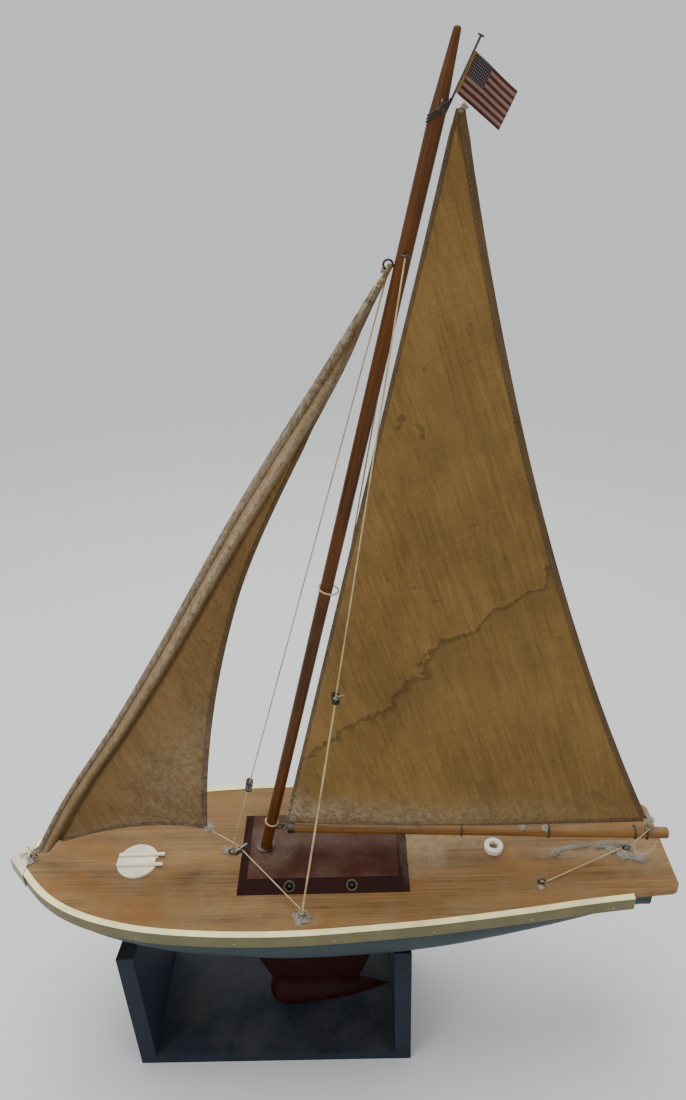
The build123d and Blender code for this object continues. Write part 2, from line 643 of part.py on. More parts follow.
# ---------------------------------------------------------------- shrouds, stay, sheets and bowsies
shroud_nodes = {}
for name, side, base in (("port", 1, chainplate_points[0]), ("starboard", -1, chainplate_points[1])):
    low = base + UP * (RING_TOP + CORD_RADIUS + 0.2)
    high = on_mast(HOUND_LENGTH, 0, side * (MAST_RADIUS + EYE_WIRE_RADIUS + EYE_RING_RADIUS))
    high -= mast_up * (EYE_WIRE_RADIUS + CORD_RADIUS)
    run = (high - low).normalized()
    centre = low + (high - low) * SHROUD_BOWSIE_SHARE
    across = (ACROSS * side - run * (run.Y * side)).normalized()
    plate = bowsie(centre, run, across, (-1, 0, 1))
    tail_top = centre + across * BOWSIE_HOLE_SPACING + run * (BOWSIE_THICKNESS / 2 + 1.2)
    tail = rod(low + across * (CORD_DIAMETER + 0.2), tail_top, CORD_RADIUS)
    knot = Pos(tail_top + run * 0.9) * Sphere(1.5)
    shroud_nodes[name] = (rod(low, high, CORD_RADIUS), plate, tail + knot)

stay_low = deck_eye_points["stay_eye"] + UP * (RING_TOP + CORD_RADIUS + 0.5)
stay_high = on_mast(STAY_HOUND_LENGTH, -(MAST_RADIUS + EYE_WIRE_RADIUS + EYE_RING_RADIUS))
stay_high -= UP * (EYE_RING_RADIUS + EYE_WIRE_RADIUS + CORD_RADIUS + 0.2)
stay_run = (stay_high - stay_low).normalized()
inner_stay = rod(stay_low, stay_high, CORD_RADIUS)
stay_bowsie = bowsie(stay_low + (stay_high - stay_low) * STAY_BOWSIE_SHARE, stay_run, ACROSS, (-1, 0, 1))

luff_run = (jib_head - jib_tack).normalized()
bow_ring_top = deck_eye_points["bow_eye"] + UP * (RING_TOP + EYE_WIRE_RADIUS + LASHING_RADIUS + 0.1)
jib_lashings = [
    rod(stay_high + FORE_AFT * 1.5, jib_head + luff_run * 0.8, LASHING_RADIUS),
    rod(bow_ring_top, jib_tack - luff_run * 0.8, LASHING_RADIUS),
]

sheet_bowsie_centre = station(*SHEET_BOWSIE)
sheet_end = chainplate_points[0] + UP * (RING_TOP + 0.7) + Vector(0, -1.5, 0)
sheet_run = (sheet_end - sheet_bowsie_centre).normalized()
sheet_side = sheet_run.cross(UP).normalized()
sheet_flat = sheet_side.cross(sheet_run).normalized()
sheet_bowsie = bowsie(sheet_bowsie_centre, sheet_run, sheet_side, (-1, 0, 1))
jib_sheet = rod(sheet_bowsie_centre - sheet_run * 6, sheet_end, CORD_RADIUS)
jib_sheet_upper = rod(
    jib_clew + Vector(-0.6, 0, -0.9), sheet_bowsie_centre - sheet_run * 6.8, CORD_RADIUS
)

lower_sheet_start = deck_eye_points["fore_sheet_eye"] + Vector(-1.5, 0, EYE_RING_RADIUS + EYE_WIRE_RADIUS)
lower_sheet_start += Vector(-EYE_RING_RADIUS, 0, 0)
lower_sheet_end = deck_eye_points["aft_sheet_eye"] + Vector(1.5, 0, EYE_RING_RADIUS + EYE_WIRE_RADIUS)
lower_sheet_end += Vector(EYE_RING_RADIUS, 0, 0)
mainsheet_lower = rod(lower_sheet_start, lower_sheet_end, CORD_RADIUS)
sheet_boom_point = on_boom(SHEET_LASHING, -(BOOM_RADIUS + 2 * LASHING_RADIUS + CORD_RADIUS + 0.3))
sheet_boom_point = sheet_boom_point.rotate(swing_axis, -BOOM_SWING_AT_REST)
upper_sheet_start = deck_eye_points["aft_sheet_eye"] + UP * (RING_TOP + CORD_RADIUS + 0.4)
mainsheet_upper = rod(upper_sheet_start, sheet_boom_point, CORD_RADIUS)

# ---------------------------------------------------------------- flag
flag_top = pin_end - pin_up * FLAG_BELOW_HEAD
flag_clear = FORE_AFT * -(FLAG_PIN_RADIUS + FIT_GAP) / math.cos(pin_lean)
droop = math.radians(FLAG_DROOP)
fly = Vector(-math.cos(droop), 0, -math.sin(droop)) * FLAG_FLY
flag_corners = [
    flag_top + flag_clear,
    flag_top + flag_clear + fly,
    flag_top + flag_clear + fly - pin_up * FLAG_HOIST,
    flag_top + flag_clear - pin_up * FLAG_HOIST,
]
flag = sail([*Polyline(*flag_corners, close=True).edges()])

# ---------------------------------------------------------------- deck fittings
hatch_centre = along(HATCH_PLACE, HATCH_PORT)
hatch = Plane(hatch_centre).location * Cylinder(
    HATCH_RADIUS, HATCH_THICKNESS, align=(Align.CENTER, Align.CENTER, Align.MIN)
)
hatch -= Pos(hatch_centre - FORE_AFT * (HATCH_RADIUS + 1)) * Box(HATCH_NOTCH, HATCH_NOTCH, 4 * HATCH_THICKNESS)
hatch_sticks = []
stick_aft = hatch_centre - FORE_AFT * (HATCH_RADIUS + STICK_OVERHANG)
for side in (1, -1):
    lift = UP * (HATCH_THICKNESS + STICK_DIAMETER / 2) + ACROSS * (side * STICK_SPACING / 2)
    hatch_sticks.append(rod(stick_aft + lift, stick_aft + FORE_AFT * STICK_LENGTH + lift, STICK_DIAMETER / 2))
fairlead = Plane(along(FAIRLEAD_PLACE)).location * (
    Cylinder(FAIRLEAD_RADIUS, FAIRLEAD_HEIGHT, align=(Align.CENTER, Align.CENTER, Align.MIN))
    - Cylinder(FAIRLEAD_HOLE_RADIUS, 3 * FAIRLEAD_HEIGHT)
)
fairlead = fillet(fairlead.edges().group_by(Axis.Z)[-1], 1.9)

# ---------------------------------------------------------------- stand
base_length = STAND_LENGTH - 2 * STAND_END_THICKNESS
stand_base = Box(base_length, STAND_DEPTH, STAND_BASE_THICKNESS, align=(Align.CENTER, Align.CENTER, Align.MIN))
top_drop = STAND_DEPTH / 2 * math.tan(math.radians(STAND_TOP_SLOPE))
end_outline = Polyline(
    (0, -STAND_DEPTH / 2, 0),
    (0, STAND_DEPTH / 2, 0),
    (0, STAND_DEPTH / 2, STAND_HEIGHT),
    (0, 0, STAND_HEIGHT - top_drop),
    (0, -STAND_DEPTH / 2, STAND_HEIGHT),
    close=True,
)
cradle_cut = canoe_body(inner_edge, HULL_LINES, CRADLE_GAP - RAIL_GLUE_GAP)
stand_ends = {}
stand_screws = []
for name, side in (("stand_end_fore", 1), ("stand_end_aft", -1)):
    inside = side * base_length / 2
    board = Pos(inside, 0, 0) * extrude(make_face(end_outline), STAND_END_THICKNESS, dir=(side, 0, 0))
    board -= cradle_cut
    for port in (-SCREW_SPACING / 2, SCREW_SPACING / 2):
        face = Vector(side * STAND_LENGTH / 2, port, STAND_BASE_THICKNESS / 2)
        inward = Vector(-side, 0, 0)
        screw = rod(face, face + inward * SCREW_LENGTH, SCREW_RADIUS)
        screw += Plane(origin=face, z_dir=inward).location * Cone(
            SCREW_HEAD_RADIUS, SCREW_RADIUS, 2.2, align=(Align.CENTER, Align.CENTER, Align.MIN)
        )
        board -= screw
        stand_base -= screw
        stand_screws.append(screw)
    stand_ends[name] = board


def swung(shape):
    """Shape turned with the boom to its resting place."""
    return shape.rotate(swing_axis, -BOOM_SWING_AT_REST)


os.makedirs("parts", exist_ok=True)
save("stand_base", stand_base)
for name, board in stand_ends.items():
    save(name, board)
save("stand_screws", *stand_screws)
save("hull_shell", hull)
save("deck", deck)
for name, rail in rail_halves.items():
    save(name, rail)
save("rail_pins", *rail_pins)
save("bow_cap", bow_cap)
save("deck_beams", *deck_beams)
save("mast_step", step_block)
save("keel_fin", fin)
save("keel_bulb", bulb)
save("keel_bolts", *keel_bolts)
save("keel_washers", *keel_washers)
save("keel_nuts", *keel_nuts)
save("cabin_trunk", cabin)
save("porthole_rims", *porthole_rims)
save("mast", mast)
save("mast_collar", collar)
save("mast_eye", mast_eye)
save("shroud_eyes", *shroud_eyes)
save("stay_hound_eye", stay_hound_eye)
save("masthead_eye", masthead_eye)
save("tack_lashing", tack_lashing)
save("luff_ring", luff_ring)
for name, eye in deck_eyes.items():
    save(name, eye)
save("chainplate_eyes", *chainplates)
for name, (shroud, plate, tail) in shroud_nodes.items():
    save(f"shroud_{name}", shroud)
    save(f"shroud_bowsie_{name}", plate)
    save(f"shroud_tail_{name}", tail)
save("inner_stay", inner_stay)
save("stay_bowsie", stay_bowsie)
save("jib_sheet", jib_sheet)
save("jib_sheet_upper", jib_sheet_upper)
save("jib_sheet_bowsie", sheet_bowsie)
save("mainsheet_lower", mainsheet_lower)
save("mainsheet_upper", mainsheet_upper)
save("boom", swung(boom))
save("boom_ferrule", swung(ferrule))
save("boom_eye", swung(boom_eye))
save("boom_lashings", *[swung(lashing) for lashing in boom_lashings])
save("mainsail", swung(mainsail))
save("jib", jib)
save("jib_lashings", *jib_lashings)
save("flag_pin", flag_pin)
save("flag", flag)
save("hatch_disc", hatch)
save("hatch_sticks", *hatch_sticks)
save("fairlead_ring", fairlead)
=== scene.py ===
"""A wooden pond yacht on its cradle: cloth, cord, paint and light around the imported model."""

import json
import logging
import math
import random
from dataclasses import dataclass
from enum import Enum
from typing import Callable

import bmesh
import bpy
from mathutils import Matrix, Vector, noise


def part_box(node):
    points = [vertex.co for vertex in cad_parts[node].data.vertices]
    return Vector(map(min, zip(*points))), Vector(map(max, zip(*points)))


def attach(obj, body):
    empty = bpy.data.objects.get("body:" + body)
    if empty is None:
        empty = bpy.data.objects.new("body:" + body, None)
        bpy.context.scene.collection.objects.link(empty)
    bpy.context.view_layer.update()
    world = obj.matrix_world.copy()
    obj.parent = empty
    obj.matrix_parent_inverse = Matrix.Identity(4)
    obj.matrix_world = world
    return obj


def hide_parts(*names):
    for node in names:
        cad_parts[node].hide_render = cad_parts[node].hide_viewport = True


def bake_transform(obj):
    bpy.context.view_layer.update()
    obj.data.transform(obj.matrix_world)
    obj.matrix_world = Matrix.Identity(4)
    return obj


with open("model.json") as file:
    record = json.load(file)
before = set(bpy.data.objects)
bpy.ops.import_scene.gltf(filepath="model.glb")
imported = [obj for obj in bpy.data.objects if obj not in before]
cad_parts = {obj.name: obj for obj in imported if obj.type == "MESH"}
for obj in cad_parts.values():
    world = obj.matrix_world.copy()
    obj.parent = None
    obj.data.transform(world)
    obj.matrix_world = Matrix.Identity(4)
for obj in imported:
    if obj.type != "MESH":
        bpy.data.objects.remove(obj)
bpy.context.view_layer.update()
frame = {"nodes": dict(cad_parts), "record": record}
LOG = logging.getLogger("pond_yacht")
JOINTS = {joint["name"]: joint for joint in frame["record"]["behaviour"]["joints"]}
UP = Vector((0, 0, 1))
PORT = Vector((0, 1, 0))
AFT = Vector((-1, 0, 0))
MM = 0.001
Colour = tuple[float, float, float]
Socket = bpy.types.NodeSocket

CABIN_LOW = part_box("cabin_trunk")[0]
FOOT_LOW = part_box("mast_collar")[0]
AFT_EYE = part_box("aft_sheet_eye")[0]
CHAIN_LOW, CHAIN_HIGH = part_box("chainplate_eyes")
MAST_LEAN = math.radians(13.7)
MAST_HEAD_RADIUS = 4.75 * MM
DARK_THREAD_RADIUS = 0.45 * MM
CHAINPLATE_KNOT_HEIGHT = 227.5 * MM
KNOT_TURNS = 3
KNOT_STEPS = 7 * KNOT_TURNS
LINT_SPOTS = 320
LINT_RADIUS = 0.16 * MM
ROLL_SPOTS = 900
ROLL_RADIUS = 0.09 * MM
PORE_DARK = (0.012, 0.006, 0.003)

# Scale, detail and roughness of each even noise.
DUST_SPECKS = (900.0, 2, 0.6)
DRIFT_EDGE = (38.0, 4, 0.6)
DRIFT_FLUFF = (160.0, 7, 0.8)
MOTTLE = (28.0, 5, 0.6)
ROUGH_SPREAD = (120.0, 4, 0.6)
BLOTCHES = (16.0, 3, 0.5)
SPOTS = (85.0, 3, 0.5)
CLOTH_FLUFF = (210.0, 6, 0.8)
TIDE_EDGE = (17.0, 5, 0.6)
CORD_DIRT = (60.0, 4, 0.6)


# ------------------------------------------------------------------ node trees
class Graph:
    """Short hand for building one node tree."""

    def __init__(self, tree: bpy.types.NodeTree) -> None:
        """Starts on an empty or a new tree."""
        self.tree = tree

    def node(self, kind: str, **settings: object) -> bpy.types.Node:
        """Adds a node.

        Args:
            kind: the node's type, without its ShaderNode prefix.
            settings: properties to set on it.

        Returns:
            The new node.
        """
        made = self.tree.nodes.new("ShaderNode" + kind)
        for name, value in settings.items():
            setattr(made, name, value)
        return made

    def feed(self, socket: Socket, value: object) -> None:
        """Links a socket to another one, or sets its value."""
        if isinstance(value, bpy.types.NodeSocket):
            self.tree.links.new(value, socket)
        elif isinstance(value, tuple) and len(value) == 3 and socket.type == "RGBA":
            socket.default_value = (*value, 1)
        else:
            socket.default_value = value

    def math(self, operation: str, first: object, second: object = 0.0) -> Socket:
        """Result of a Math node."""
        made = self.node("Math", operation=operation)
        self.feed(made.inputs[0], first)
        self.feed(made.inputs[1], second)
        return made.outputs[0]

    def times(self, first: object, second: object) -> Socket:
        """Product of two values."""
        return self.math("MULTIPLY", first, second)

    def plus(self, first: object, second: object) -> Socket:
        """Sum of two values."""
        return self.math("ADD", first, second)

    def minus(self, first: object, second: object) -> Socket:
        """First value less the second."""
        return self.math("SUBTRACT", first, second)

    def split(self, place: Socket) -> bpy.types.bpy_prop_collection:
        """X, Y and Z of a vector."""
        made = self.node("SeparateXYZ")
        self.feed(made.inputs[0], place)
        return made.outputs

    def facing_up(self) -> Socket:
        """How far the surface faces up."""
        return self.split(self.node("NewGeometry").outputs["Normal"])["Z"]

    def use(self, effect: "Effect", **given: object) -> bpy.types.bpy_prop_collection:
        """Adds an effect's group node.

        Args:
            effect: the effect.
            given: what each of its inputs gets.

        Returns:
            The node's outputs.
        """
        made = self.node("Group", node_tree=effect.tree())
        for name, value in given.items():
            self.feed(made.inputs[name], value)
        return made.outputs

    def mix(self, share: object, first: object, second: object, blend: str = "MIX") -> Socket:
        """Result of a colour Mix node."""
        made = self.node("Mix", data_type="RGBA", blend_type=blend)
        self.feed(made.inputs[0], share)
        self.feed(made.inputs[6], first)
        self.feed(made.inputs[7], second)
        return made.outputs[2]

    def fit(
        self, value: object, low: float, high: float, new_low: float = 0.0, new_high: float = 1.0
    ) -> Socket:
        """Value eased from one range to another and held inside it."""
        made = self.node("MapRange", interpolation_type="SMOOTHSTEP")
        for socket, number in zip(made.inputs, (value, low, high, new_low, new_high)):
            self.feed(socket, number)
        return made.outputs[0]

    def noise(
        self, place: object, scale: object, detail: float = 4.0, roughness: float = 0.55
    ) -> Socket:
        """Height of a noise texture."""
        made = self.node("TexNoise")
        self.feed(made.inputs["Vector"], place)
        self.feed(made.inputs["Scale"], scale)
        self.feed(made.inputs["Detail"], detail)
        self.feed(made.inputs["Roughness"], roughness)
        return made.outputs[0]

    def placed(self, place: object, scale: tuple, turn: tuple = (0, 0, 0)) -> Socket:
        """Coordinates turned and then stretched."""
        turned = self.node("Mapping", vector_type="POINT")
        self.feed(turned.inputs["Vector"], place)
        turned.inputs["Rotation"].default_value = turn
        made = self.node("Mapping", vector_type="POINT")
        self.feed(made.inputs["Vector"], turned.outputs[0])
        made.inputs["Scale"].default_value = scale
        return made.outputs[0]


@dataclass(frozen=True)
class Layer:
    """Noise stretched differently along each axis."""

    stretch: tuple
    detail: float
    roughness: float

    def height(self, g: Graph, place: Socket) -> Socket:
        """Height of the layer at a place."""
        return g.noise(g.placed(place, self.stretch), 1.0, self.detail, self.roughness)


FIGURE = Layer((5, 38, 38), 4, 0.6)
STREAKS = Layer((11, 520, 520), 6, 0.7)
PORES = Layer((45, 900, 900), 3, 0.6)
CRACKS = Layer((26, 950, 950), 2, 0.5)
PATCHES = Layer((17, 30, 30), 3, 0.5)
SCUFFS = Layer((60, 60, 500), 4, 0.6)
LONG_SLUBS = Layer((330, 330, 16), 6, 0.72)
SHORT_SLUBS = Layer((45, 900, 900), 3, 0.6)
FADING = Layer((11, 11, 6), 5, 0.62)
CORD_LAY = Layer((2400, 2400, 1100), 2, 0.5)


def fill_grain(g: Graph, given: dict) -> dict:
    """Long wood grain: broad figure, fine streaks, short dark pores and clear patches."""
    layers = (FIGURE, STREAKS, PORES, CRACKS, PATCHES)
    figure, streaks, pores, cracks, patches = (layer.height(g, given["Vector"]) for layer in layers)
    share = g.fit(g.plus(g.times(figure, 0.8), g.times(streaks, 0.9)), 0.62, 1.08)
    colour = g.mix(share, given["Dark"], given["Light"])
    pore = g.math("MAXIMUM", g.fit(pores, 0.58, 0.70), g.fit(cracks, 0.66, 0.72))
    pore = g.times(pore, given["Pores"])
    colour = g.mix(pore, colour, g.mix(0.5, given["Dark"], PORE_DARK))
    colour = g.mix(g.times(g.fit(patches, 0.50, 0.62), 0.6), colour, given["Clear"])
    return {"Color": colour, "Height": g.minus(streaks, g.times(pore, 0.7))}


def fill_dust(g: Graph, given: dict) -> dict:
    """Dust that has settled on what faces up, uneven and speckled."""
    lying = g.fit(g.facing_up(), given["Level"], 0.97)
    uneven = g.fit(g.noise(given["Vector"], given["Scale"], 6, 0.68), 0.38, 0.68)
    specks = g.fit(g.noise(given["Vector"], *DUST_SPECKS), 0.62, 0.75)
    cover = g.times(lying, g.plus(g.times(uneven, 0.85), 0.15))
    cover = g.times(g.plus(cover, g.times(specks, 0.35)), given["Amount"])
    cover = g.math("MINIMUM", cover, 1.0)
    return {"Color": g.mix(cover, given["Color"], given["Dust"]), "Mask": cover}


def fill_drift(g: Graph, given: dict) -> dict:
    """Thick dust round one spot, with a ragged edge."""
    axes = g.split(given["Vector"])
    run = g.math("DIVIDE", g.minus(axes["X"], given["X"]), given["Along"])
    side = g.math("DIVIDE", g.minus(axes["Y"], given["Y"]), given["Across"])
    reach = g.plus(g.times(run, run), g.times(side, side))
    wander = g.times(g.minus(g.noise(given["Vector"], *DRIFT_EDGE), 0.5), 1.6)
    fluff = g.fit(g.noise(given["Vector"], *DRIFT_FLUFF), 0.36, 0.64, 0.15, 1.0)
    mask = g.times(g.fit(g.plus(reach, wander), 1.0, 0.1), fluff)
    share = g.times(mask, given["Strength"])
    return {"Color": g.mix(share, given["Color"], given["Dust"])}


def fill_wear(g: Graph, given: dict) -> dict:
    """Paint with mottled colour, fine scuffs and small chips that show what is under it."""
    mottle = g.noise(given["Vector"], *MOTTLE)
    scuffs = SCUFFS.height(g, given["Vector"])
    chips = g.noise(given["Vector"], given["Scale"], 7, 0.72)
    chip = g.times(g.fit(chips, 0.66, 0.70), given["Wear"])
    tone = g.node("HueSaturation")
    shade = g.fit(g.plus(mottle, g.times(scuffs, 0.5)), 0.4, 1.1, 0.72, 1.18)
    g.feed(tone.inputs["Value"], shade)
    g.feed(tone.inputs["Color"], given["Paint"])
    return {"Color": g.mix(chip, tone.outputs[0], given["Under"]), "Mask": chip, "Height": scuffs}


def fill_weave(g: Graph, given: dict) -> dict:
    """Plain weave in the plane of the cloth, with slubs in both directions."""
    axes = g.split(given["Vector"])
    waves = [g.math("SINE", g.times(axes[name], given["Threads"])) for name in ("X", "Z")]
    long_slubs = LONG_SLUBS.height(g, given["Vector"])
    short_slubs = SHORT_SLUBS.height(g, given["Vector"])
    shade = g.plus(g.times(long_slubs, 0.72), g.times(short_slubs, 0.28))
    return {"Shade": shade, "Height": g.plus(g.times(g.times(*waves), 0.25), shade)}


@dataclass(frozen=True)
class Effect:
    """Effect that several materials share, as one shader node group."""

    name: str
    fill: Callable
    inputs: dict[str, str]
    outputs: dict[str, str]

    def tree(self) -> bpy.types.NodeTree:
        """The group's tree, built once."""
        if self.name in bpy.data.node_groups:
            return bpy.data.node_groups[self.name]
        tree = bpy.data.node_groups.new(self.name, "ShaderNodeTree")
        for way, sockets in (("INPUT", self.inputs), ("OUTPUT", self.outputs)):
            for label, kind in sockets.items():
                tree.interface.new_socket(name=label, in_out=way, socket_type="NodeSocket" + kind)
        start = tree.nodes.new("NodeGroupInput")
        end = tree.nodes.new("NodeGroupOutput")
        given = {label: start.outputs[label] for label in self.inputs}
        for label, value in self.fill(Graph(tree), given).items():
            tree.links.new(value, end.inputs[label])
        return tree


GRAIN = Effect(
    "long_grain", fill_grain,
    {"Vector": "Vector", "Light": "Color", "Dark": "Color", "Clear": "Color", "Pores": "Float"},
    {"Color": "Color", "Height": "Float"}
)
DUST = Effect(
    "settled_dust", fill_dust,
    {
        "Vector": "Vector", "Color": "Color", "Dust": "Color", "Amount": "Float", "Scale": "Float",
        "Level": "Float"
    },
    {"Color": "Color", "Mask": "Float"}
)
DRIFT = Effect(
    "dust_drift", fill_drift,
    {
        "Vector": "Vector", "Color": "Color", "Dust": "Color", "X": "Float", "Y": "Float",
        "Along": "Float", "Across": "Float", "Strength": "Float"
    },
    {"Color": "Color"}
)
WEAR = Effect(
    "worn_paint", fill_wear,
    {"Vector": "Vector", "Paint": "Color", "Under": "Color", "Wear": "Float", "Scale": "Float"},
    {"Color": "Color", "Mask": "Float", "Height": "Float"}
)
WEAVE = Effect(
    "plain_weave", fill_weave, {"Vector": "Vector", "Threads": "Float"},
    {"Shade": "Float", "Height": "Float"}
)


# ------------------------------------------------------------------ finishes
@dataclass(frozen=True)
class Finish:
    """What every finish has: its name, roughness, bump and coat, and the dust on it.

    Each drift is x, y, its reach along and across, and its strength.
    """

    name: str
    roughness: float = 0.6
    dust: float = 0.3
    dust_scale: float = 45.0
    dust_level: float = 0.2
    dust_colour: Colour = (0.46, 0.42, 0.36)
    bump: float = 0.2
    coat: float = 0.0
    specular: float = 0.35
    drifts: tuple = ()

    def colour(self, g: Graph, place: Socket) -> tuple:
        """Colour and height sockets of the clean surface."""
        raise NotImplementedError

    def metallic(self) -> float:
        """How metallic the clean surface is."""
        return 0.0

    def build(self) -> bpy.types.Material:
        """The finished material, made once."""
        label = self.name + "_finish"
        if label in bpy.data.materials:
            return bpy.data.materials[label]
        material = bpy.data.materials.new(label)
        material.use_nodes = True
        g = Graph(material.node_tree)
        shader = material.node_tree.nodes["Principled BSDF"]
        place = g.node("TexCoord").outputs["Object"]
        colour, height = self.colour(g, place)
        for x, y, along, across, strength in self.drifts:
            colour = g.use(
                DRIFT, Vector=place, Color=colour, Dust=self.dust_colour, X=x, Y=y, Along=along,
                Across=across, Strength=strength
            )["Color"]
        dust = g.use(
            DUST, Vector=place, Color=colour, Dust=self.dust_colour, Amount=self.dust,
            Scale=self.dust_scale, Level=self.dust_level
        )
        g.feed(shader.inputs["Base Color"], dust["Color"])
        rough = g.plus(g.times(g.noise(place, *ROUGH_SPREAD), 0.16), self.roughness - 0.08)
        rough = g.plus(rough, g.times(dust["Mask"], 0.9 - self.roughness))
        g.feed(shader.inputs["Roughness"], g.math("MINIMUM", rough, 1.0))
        if self.metallic():
            clean = g.minus(1.0, dust["Mask"])
            g.feed(shader.inputs["Metallic"], g.times(clean, self.metallic()))
        shader.inputs["Specular IOR Level"].default_value = self.specular
        if self.coat:
            shader.inputs["Coat Weight"].default_value = self.coat
            shader.inputs["Coat Roughness"].default_value = 0.25
        bump = g.node("Bump")
        bump.inputs["Strength"].default_value = self.bump
        bump.inputs["Distance"].default_value = 0.4 * MM
        g.feed(bump.inputs["Height"], g.plus(height, g.times(dust["Mask"], 0.6)))
        g.feed(shader.inputs["Normal"], bump.outputs[0])
        return material


@dataclass(frozen=True)
class Wood(Finish):
    """Bare, oiled or varnished wood with its grain along one direction."""

    light: Colour = (0.4, 0.22, 0.1)
    dark: Colour = (0.2, 0.1, 0.04)
    clear: Colour | None = None
    pores: float = 0.5
    turn: tuple = (0, 0, 0)

    def colour(self, g: Graph, place: Socket) -> tuple:
        """Grain, and patches where the old varnish is still clear."""
        turned = g.placed(place, (1, 1, 1), self.turn)
        grain = g.use(
            GRAIN, Vector=turned, Light=self.light, Dark=self.dark, Clear=self.clear or self.light,
            Pores=self.pores
        )
        return grain["Color"], grain["Height"]


@dataclass(frozen=True)
class Paint(Finish):
    """Old brushed paint over wood or metal."""

    paint: Colour = (0.2, 0.2, 0.2)
    under: Colour = (0.3, 0.2, 0.12)
    wear: float = 0.4
    chip_scale: float = 55.0
    side: Colour | None = None
    side_level: tuple[float, float] = (0.3, 0.8)

    def colour(self, g: Graph, place: Socket) -> tuple:
        """Mottled paint with chips, dirtier on the sides where it has a side colour."""
        paint = self.paint
        if self.side:
            paint = g.mix(g.fit(g.facing_up(), *self.side_level), self.side, paint)
        worn = g.use(
            WEAR, Vector=place, Paint=paint, Under=self.under, Wear=self.wear, Scale=self.chip_scale
        )
        return worn["Color"], g.minus(worn["Height"], worn["Mask"])


@dataclass(frozen=True)
class Metal(Paint):
    """Dull metal with tarnish."""

    shine: float = 0.9

    def metallic(self) -> float:
        """How metallic it is where no dust lies."""
        return self.shine


@dataclass(frozen=True)
class Cloth(Finish):
    """Woven cotton, stained and faded, with dust in the places marked on the mesh."""

    light: Colour = (0.4, 0.25, 0.1)
    dark: Colour = (0.2, 0.12, 0.04)
    stain: Colour = (0.12, 0.07, 0.03)
    stains: float = 0.5
    threads: float = 9000.0
    warp: float = math.radians(17.8)
    tide: tuple | None = None
    marked: bool = False

    def colour(self, g: Graph, place: Socket) -> tuple:
        """Weave with long slubs, broad fading, a tide mark, blotches and marked dust."""
        along = g.placed(place, (1, 1, 1), (0, -self.warp, 0))
        weave = g.use(WEAVE, Vector=along, Threads=self.threads)
        share = g.plus(g.times(FADING.height(g, place), 0.55), g.times(weave["Shade"], 0.9))
        colour = g.mix(g.fit(share, 0.50, 0.95), self.dark, self.light)
        blotch = g.fit(g.noise(place, *BLOTCHES), 0.52, 0.74)
        colour = g.mix(g.times(blotch, self.stains * 0.55), colour, self.stain)
        spots = g.fit(g.noise(place, *SPOTS), 0.68, 0.74)
        colour = g.mix(g.times(spots, self.stains), colour, self.stain)
        if self.tide:
            colour = g.mix(self.tide_mark(g, place), colour, self.stain)
        if self.marked:
            mark = g.node("Attribute", attribute_name="dust").outputs["Fac"]
            fluff = g.fit(g.noise(place, *CLOTH_FLUFF), 0.40, 0.62, 0.10, 1.0)
            colour = g.mix(g.times(mark, fluff), colour, self.dust_colour)
        return colour, weave["Height"]

    def tide_mark(self, g: Graph, place: Socket) -> Socket:
        """Old water line: a sharp edge above, fading downwards."""
        start_x, start_z, slope = self.tide
        axes = g.split(place)
        run = g.times(g.minus(start_x, axes["X"]), slope)
        level = g.minus(g.minus(axes["Z"], start_z), run)
        level = g.plus(level, g.times(g.minus(g.noise(place, *TIDE_EDGE), 0.5), 0.10))
        edge = g.times(g.fit(level, 0.0015, -0.001), g.fit(level, -0.007, -0.001, 0.3, 1.0))
        fade = g.fit(level, -0.075, -0.002)
        return g.times(g.times(edge, fade), self.stains * 1.35)


@dataclass(frozen=True)
class Cord(Finish):
    """Twisted cotton, grey where it was handled."""

    light: Colour = (0.62, 0.52, 0.36)
    dark: Colour = (0.3, 0.23, 0.14)

    def colour(self, g: Graph, place: Socket) -> tuple:
        """Strands as a fine slanting stripe, and dirt in patches."""
        lay = CORD_LAY.height(g, place)
        share = g.plus(g.times(lay, 0.5), g.times(g.noise(place, *CORD_DIRT), 0.6))
        return g.mix(g.fit(share, 0.38, 0.68), self.dark, self.light), lay


@dataclass(frozen=True)
class StripedFlag(Finish):
    """Printed cotton: stripes across the fly and a dotted corner."""

    red: Colour = (0.060, 0.0075, 0.007)
    cream: Colour = (0.185, 0.125, 0.095)
    blue: Colour = (0.006, 0.009, 0.022)
    stripes: int = 13
    corner: tuple = (0.42, 0.46)
    dots: tuple = (26.0, 17.0)
    threads: float = 12000.0
    grime: tuple[Colour, Colour] = ((0.10, 0.06, 0.04), (0.7, 0.6, 0.5))

    def colour(self, g: Graph, place: Socket) -> tuple:
        """Pattern from the flag's own map: u along the fly, v up the hoist."""
        spot = g.split(g.node("TexCoord").outputs["UV"])
        along, up = spot["X"], spot["Y"]
        band = g.math("MODULO", g.math("FLOOR", g.times(up, float(self.stripes))), 2.0)
        colour = g.mix(band, self.red, self.cream)
        near, above = g.math("LESS_THAN", along, self.corner[0]), g.math(
            "GREATER_THAN", up, self.corner[1]
        )
        inside = g.times(near, above)
        colour = g.mix(inside, colour, self.blue)
        cells = [
            g.minus(g.math("FRACT", g.times(value, count)), 0.5) for value,
            count in zip((along, up), self.dots)
        ]
        dot = g.fit(g.plus(*(g.times(cell, cell) for cell in cells)), 0.10, 0.05)
        colour = g.mix(g.times(inside, dot), colour, self.cream)
        weave = g.use(WEAVE, Vector=place, Threads=self.threads)
        aged = g.mix(0.35, colour, g.mix(weave["Shade"], *self.grime), "OVERLAY")
        return aged, weave["Height"]


